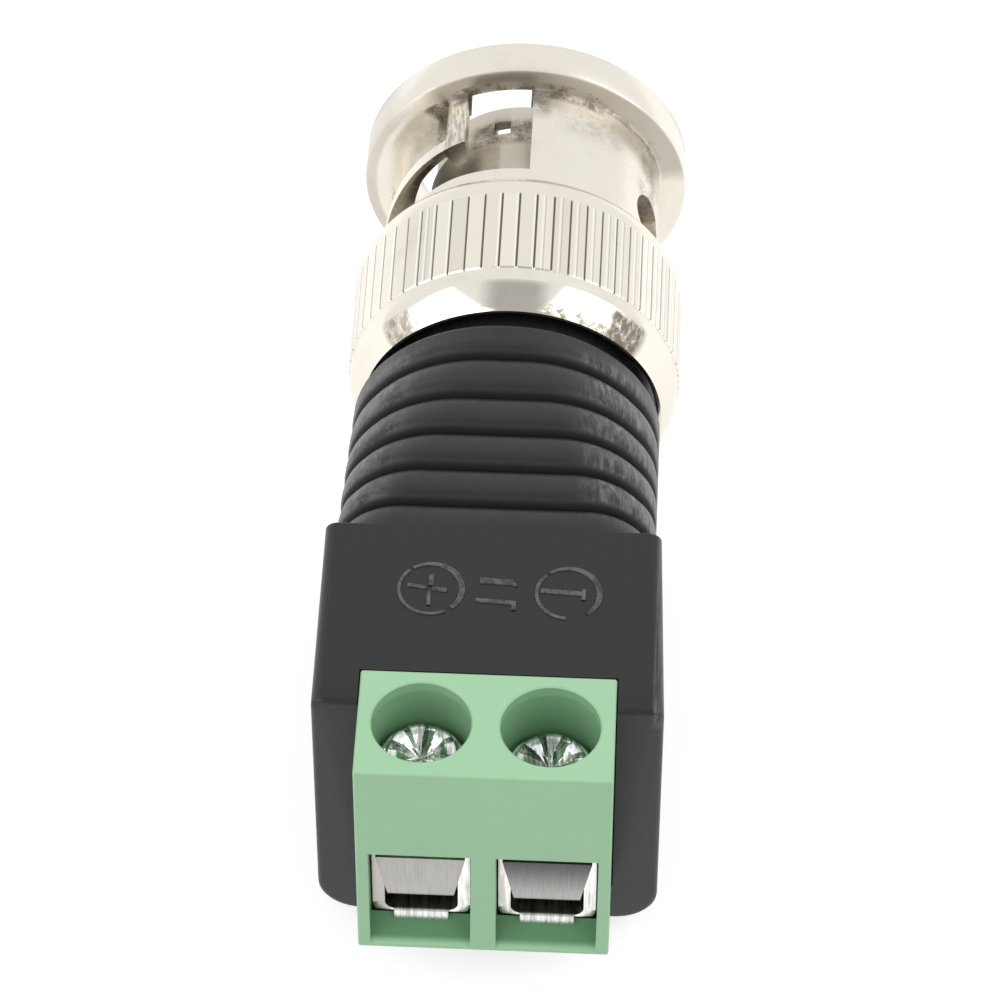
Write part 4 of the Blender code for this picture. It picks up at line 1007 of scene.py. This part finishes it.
# terminal block with its wells and wire openings
blockSize = {
    "half": 5.08, "top": 7.34, "bottom": -4.13, "depth": 7.61, "topDepth": 5.19, "shoulder": 6.24,
    "edge": 0.11, "well": 1.98, "chamfer": 0.06, "wellY": 2.66,
    "openTop": 2.08, "openHalf": 2.035, "sill": 0.20,
    "funnelDepth": 0.92, "rampTop": -2.86, "frontWall": 0.45, "cavityTop": 2.20, "cavityFloor": -3.30,
    "cavityDepth": 4.96, "legHalf": 0.6, "legLow": -2.81, "legHigh": -2.36, "legSpan": (4.4, 8.2),
}


def makeBlock(size):
    outline = [(0, size["bottom"]), (size["depth"], size["bottom"]), (size["depth"], size["shoulder"])]
    outline += [(size["topDepth"], size["shoulder"]), (size["topDepth"], size["top"]), (0, size["top"])]
    block = rawObject("block_body", across(outline, size["half"]))
    soften(block, size["edge"], 3, 40)
    sill = size["bottom"] + size["sill"]
    slope = (size["rampTop"] - sill) / size["funnelDepth"]
    cavity = [(-0.6, sill - 0.6 * slope), (size["funnelDepth"], size["rampTop"])]
    cavity += [(size["funnelDepth"], size["cavityFloor"]), (size["cavityDepth"], size["cavityFloor"])]
    cavity += [(size["cavityDepth"], size["cavityTop"]), (size["frontWall"], size["cavityTop"])]
    cavity += [(size["frontWall"], size["openTop"]), (-0.6, size["openTop"])]
    forms = []
    for x in poles.values():
        forms.append(across(cavity, size["openHalf"], x))
        flare = size["well"] + size["chamfer"] + 0.6
        well = [(1.6, 0.0), (1.6, size["well"]), (size["top"] - size["chamfer"], size["well"])]
        well += [(size["top"] + 0.6, flare), (size["top"] + 0.6, 0.0)]
        forms.append(latheUpright(well, 96, x, size["wellY"]))
        left, right, low, high = x - size["legHalf"], x + size["legHalf"], size["legLow"], size["legHigh"]
        forms.append(along([(left, low), (right, low), (right, high), (left, high)], *size["legSpan"]))
    carve(block, forms)
    soften(block, 0.03, 2, 50)
    return dress(block, greenPlastic, "adapter", ["terminal_block"], sharp=40, weighted=True)


makeBlock(blockSize)
print("block ready")

# clamps: folded cage, serrated strip, sprung leaf and screw at each pole
cageSize = {
    "half": 1.975, "top": 2.14, "bottom": -3.24, "sheet": 0.50, "topSheet": 0.90, "bend": 0.95,
    "front": 0.96, "back": 4.36, "hole": 1.55,
}
stripSize = {
    "half": 1.10, "sheet": 0.25, "top": -2.46, "front": 0.68, "back": 4.42, "lip": 0.62,
    "teeth": 7, "toothDepth": 0.06, "legHalf": 0.5, "legSpan": (4.2, 9.11),
}
leafSize = {
    "floor": -1.41, "sheet": 0.25, "front": 0.55, "back": 4.26, "bend": 0.32, "top": 1.20,
    "narrow": 1.325, "wide": 1.80,
}
screwSize = {
    "y": 2.66, "tip": -1.11, "shaft": 1.45, "headLow": 3.45, "head": 1.75, "seatTop": 4.98,
    "crown": 1.50, "crownTop": 5.44,
    "pitch": 0.7, "threadDepth": 0.22, "notches": 8, "slot": (0.13, 0.50), "notch": (0.05, 0.36),
    "crownRings": (
        (1.50, 0.36), (1.49, 0.22), (1.44, 0.07), (1.34, 0.0), (1.04, 0.02),
        (0.92, 0.10), (0.72, 0.26), (0.55, 0.32), (0.30, 0.33), (0.0, 0.33),
    ),
    "turned": {"plus": 76.0, "minus": 62.0}, "sunk": {"plus": 0.0, "minus": 0.30},
}


def makeCage(size, pole, x):
    bend = size["bend"] - size["sheet"]
    outer = roundedOutline(size["half"], size["top"], size["bottom"], bend, size["bend"], 10)
    half = size["half"] - size["sheet"]
    top, bottom = size["top"] - size["topSheet"], size["bottom"] + size["sheet"]
    inner = roundedOutline(half, top, bottom, bend / 2, bend, 10)
    span = (size["front"], size["back"])
    rings = [[spot(x + px, y, pz) for px, pz in outer] for y in span]
    rings += [[spot(x + px, y, pz) for px, pz in inner] for y in span[::-1]]
    cage = rawObject("cage_" + pole, skin(rings, closedRings=True))
    hole = [(0.6, 0.0), (0.6, size["hole"]), (2.8, size["hole"]), (2.8, 0.0)]
    carve(cage, [latheUpright(hole, 48, x, screwSize["y"])])
    soften(cage, 0.05, 2, 40)
    return dress(cage, cageTin, "adapter", ["clamp_frame_" + pole], sharp=40, weighted=True)


def makeStrip(size, pole, x):
    # the front lip ends in small teeth
    front, top, back = size["front"], size["top"], size["back"]
    inside, floor = front + size["sheet"], top - size["sheet"]
    columns = []
    for n, px in enumerate(steps(x - size["half"], x + size["half"], size["teeth"] * 4)):
        tip = top - size["lip"] + size["toothDepth"] * abs((n % 4) - 2) / 2
        columns.append([spot(px, y, z) for y, z in (
            (front, tip), (inside, tip), (inside, floor), (back, floor),
            (back, top), (front + 0.12, top), (front + 0.035, top - 0.035), (front, top - 0.12),
        )])
    strip = rawObject("strip_" + pole, skin(columns))
    left, right = x - size["legHalf"], x + size["legHalf"]
    leg = along([(left, floor), (right, floor), (right, top), (left, top)], *size["legSpan"])
    carve(strip, [leg], "UNION")
    soften(strip, 0.025, 2, 40)
    replaced = ["contact_strip_" + pole]
    return dress(strip, stripTin, "adapter", replaced, sharp=40, weighted=True)


def makeLeaf(size, pole, x):
    # centre line from the back of the plate round the bend and up the lip
    low = size["floor"] + size["sheet"] / 2
    front = size["front"] + size["sheet"] / 2
    radius = size["bend"] - size["sheet"] / 2
    line = [(y, low, 0.0) for y in steps(size["back"], front + radius, 8)]
    for a in steps(0, 90, 8)[1:]:
        cosine, sine = cosSin(a)
        line.append((front + radius - radius * sine, low + radius - radius * cosine, a))
    line += [(front, z, 90.0) for z in steps(low + radius, size["top"], 10)[1:]]
    rings = []
    for y, z, a in line:
        cosine, sine = cosSin(a)
        outY, outZ = -sine * size["sheet"] / 2, -cosine * size["sheet"] / 2
        half = size["narrow"] + (size["wide"] - size["narrow"]) * max(0.0, (z - low) / (size["top"] - low))
        corners = ((-1, -1), (1, -1), (1, 1), (-1, 1))
        rings.append([spot(x + side * half, y + face * outY, z + face * outZ) for side, face in corners])
    leaf = rawObject("leaf_" + pole, skin(rings))
    soften(leaf, 0.03, 2, 50)
    body, replaced = "guard_" + pole, ["wire_guard_" + pole]
    return dress(leaf, leafFinish[pole], body, replaced, sharp=40, weighted=True)


def makeScrew(size, pole, x):
    tip, shaft, low = size["tip"], size["shaft"], size["headLow"]
    angles = steps(0, math.tau, 180)[:-1]

    def point(angle, radius, z):
        return spot(x + radius * math.cos(angle), size["y"] + radius * math.sin(angle), z)

    def circle(z, radius):
        return [point(a, radius, z) for a in angles]

    rows = [circle(tip, 0.0), circle(tip, shaft - 0.3)]
    for z in steps(tip + 0.2, low - 0.1, 52):
        row = []
        for a in angles:
            wave = abs(((z / size["pitch"] - a / math.tau) % 1.0) * 2 - 1)
            row.append(point(a, shaft - size["threadDepth"] * smooth(0.1, 0.9, wave), z))
        rows.append(row)
    # the head: a plain disc that carries a notched crown with a dished middle
    sink = size["sunk"][pole]
    seat, crown, top = size["seatTop"] - sink, size["crown"], size["crownTop"] - sink
    rows += [circle(low, shaft - 0.1), circle(low, size["head"] - 0.06), circle(low + 0.06, size["head"])]
    rows += [circle(seat - 0.08, size["head"]), circle(seat, size["head"] - 0.08), circle(seat, crown + 0.06)]
    turns = [size["turned"][pole] + 360.0 * n / size["notches"] for n in range(size["notches"])]

    def crownHeight(angle, radius, height):
        for number, turn in enumerate(turns):
            away = abs((angle - turn + 180) % 360 - 180)
            if away < 60:
                wide, deep = size["slot"] if number % 2 == 0 else size["notch"]
                aside = radius * math.sin(math.radians(away))
                height = min(height, top - deep * (1 - smooth(wide, wide + 0.06, aside)))
        return height

    for radius, drop in size["crownRings"]:
        rows.append([point(a, radius, crownHeight(math.degrees(a), radius, top - drop)) for a in angles])
    screw = rawObject("screw_" + pole, skin(rows, caps=False))
    return dress(screw, zinc, "screw_" + pole, ["terminal_screw_" + pole], sharp=30)


for pole, x in poles.items():
    makeCage(cageSize, pole, x)
    makeStrip(stripSize, pole, x)
    makeLeaf(leafSize, pole, x)
    makeScrew(screwSize, pole, x)
print("clamps ready")

# the nodes that stay as the frame has them
keptFinishes = {
    "connector_body": nickel, "retaining_ring": springSteel, "thrust_washer": springSteel,
    "gasket": sealRubber, "signal_lead": redSleeve, "ground_lead": darkSleeve,
}
for name, finish in keptFinishes.items():
    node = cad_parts[name]
    node.data.materials.clear()
    node.data.materials.append(finish)

# studio: white floor and surroundings, two soft lamps, camera at the photograph's place
studio = {
    "floor": rgb(0.60, 0.60, 0.60), "floorGlow": 0.66,
    "skyLow": 0.30, "skyHigh": 0.68, "shownLow": 1.0, "shownHigh": 0.97, "darkest": 0.52,
    "lamps": (
        {"name": "left", "at": (-252.0, -115.0, 212.0), "size": (430.0, 280.0), "power": 0.50},
        {"name": "right", "at": (246.0, -60.0, 232.0), "size": (430.0, 280.0), "power": 0.48},
    ),
    "aim": (0.0, 0.0, 8.0),
}
view = {
    "azimuth": 2.594, "elevation": 49.178, "roll": 0.094, "distance": 204.107,
    "target": (0.112, -8.57, 17.163), "lens": 183.74,
}


def seenDirectly(tree):
    # 1 for camera, glossy and transmission rays
    ray = put(tree, "ShaderNodeLightPath")
    kinds = ("Camera", "Glossy", "Transmission")
    return highest(tree, *(ray.outputs["Is " + kind + " Ray"] for kind in kinds))


def makeStudio(look):
    mesh = bpy.data.meshes.new("floor")
    reach = 1.2
    corners = [(-reach, -reach, 0), (reach, -reach, 0), (reach, reach, 0), (-reach, reach, 0)]
    mesh.from_pydata(corners, [], [(0, 1, 2, 3)])
    floor = bpy.data.objects.new("floor", mesh)
    bpy.context.scene.collection.objects.link(floor)
    material = bpy.data.materials.new("floor_white")
    material.use_nodes = True
    tree = material.node_tree
    shader = tree.nodes["Principled BSDF"]
    shader.inputs["Base Color"].default_value = look["floor"]
    shader.inputs["Roughness"].default_value = 0.9
    shader.inputs["Specular IOR Level"].default_value = 0.0
    shader.inputs["Emission Color"].default_value = rgb(1, 1, 1)
    fill(tree, shader.inputs["Emission Strength"], times(tree, seenDirectly(tree), look["floorGlow"]))
    mesh.materials.append(material)

    world = bpy.data.worlds.new("surroundings")
    bpy.context.scene.world = world
    world.use_nodes = True
    tree = world.node_tree
    background = tree.nodes["Background"]
    background.inputs["Color"].default_value = rgb(1, 1, 1)
    way = put(tree, "ShaderNodeTexCoord").outputs["Generated"]
    side, depth, rise = (partOf(tree, way, number) for number in range(3))
    light = ramp(tree, rise, 0.0, 1.0, look["skyLow"], look["skyHigh"])
    shown = ramp(tree, rise, 0.0, 1.0, look["shownLow"], look["shownHigh"])
    # a darker strip of room between the lamps, from overhead to behind the camera
    sideways = ramp(tree, calculate(tree, "ABSOLUTE", side), 0.18, 0.44, 1.0, 0.0, soft=True)
    backward = ramp(tree, depth, 0.12, 0.42, 1.0, 0.0, soft=True)
    above = ramp(tree, rise, -0.05, 0.05, soft=True)
    dark = mixValue(tree, times(tree, sideways, backward, above), 1.0, look["darkest"])
    strength = mixValue(tree, seenDirectly(tree), light, times(tree, shown, dark))
    fill(tree, background.inputs["Strength"], strength)

    for lamp in look["lamps"]:
        data = bpy.data.lights.new(lamp["name"], "AREA")
        data.shape = "RECTANGLE"
        data.size, data.size_y = (side * mm for side in lamp["size"])
        data.energy = lamp["power"]
        thing = bpy.data.objects.new(lamp["name"], data)
        thing.location = Vector(lamp["at"]) * mm
        aim = Vector(look["aim"]) * mm
        thing.rotation_euler = (aim - thing.location).to_track_quat("-Z", "Y").to_euler()
        bpy.context.scene.collection.objects.link(thing)


def makeCamera(look):
    cosine, sine = cosSin(look["azimuth"])
    level, rise = cosSin(look["elevation"])
    back = Vector((sine * level, -cosine * level, rise))
    right = Vector((cosine, sine, 0))
    up = back.cross(right)
    cosine, sine = cosSin(look["roll"])
    rolledRight = right * cosine + up * sine
    rolledUp = up * cosine - right * sine
    data = bpy.data.cameras.new("camera")
    data.lens = look["lens"]
    data.sensor_width = 36.0
    data.clip_start, data.clip_end = 0.01, 10.0
    camera = bpy.data.objects.new("camera", data)
    place = (Vector(look["target"]) + back * look["distance"]) * mm
    turn = Matrix((rolledRight, rolledUp, back)).transposed().to_4x4()
    camera.matrix_world = Matrix.Translation(place) @ turn
    bpy.context.scene.collection.objects.link(camera)
    bpy.context.scene.camera = camera


makeStudio(studio)
makeCamera(view)
bpy.context.scene.view_settings.view_transform = "Standard"
print("studio ready")
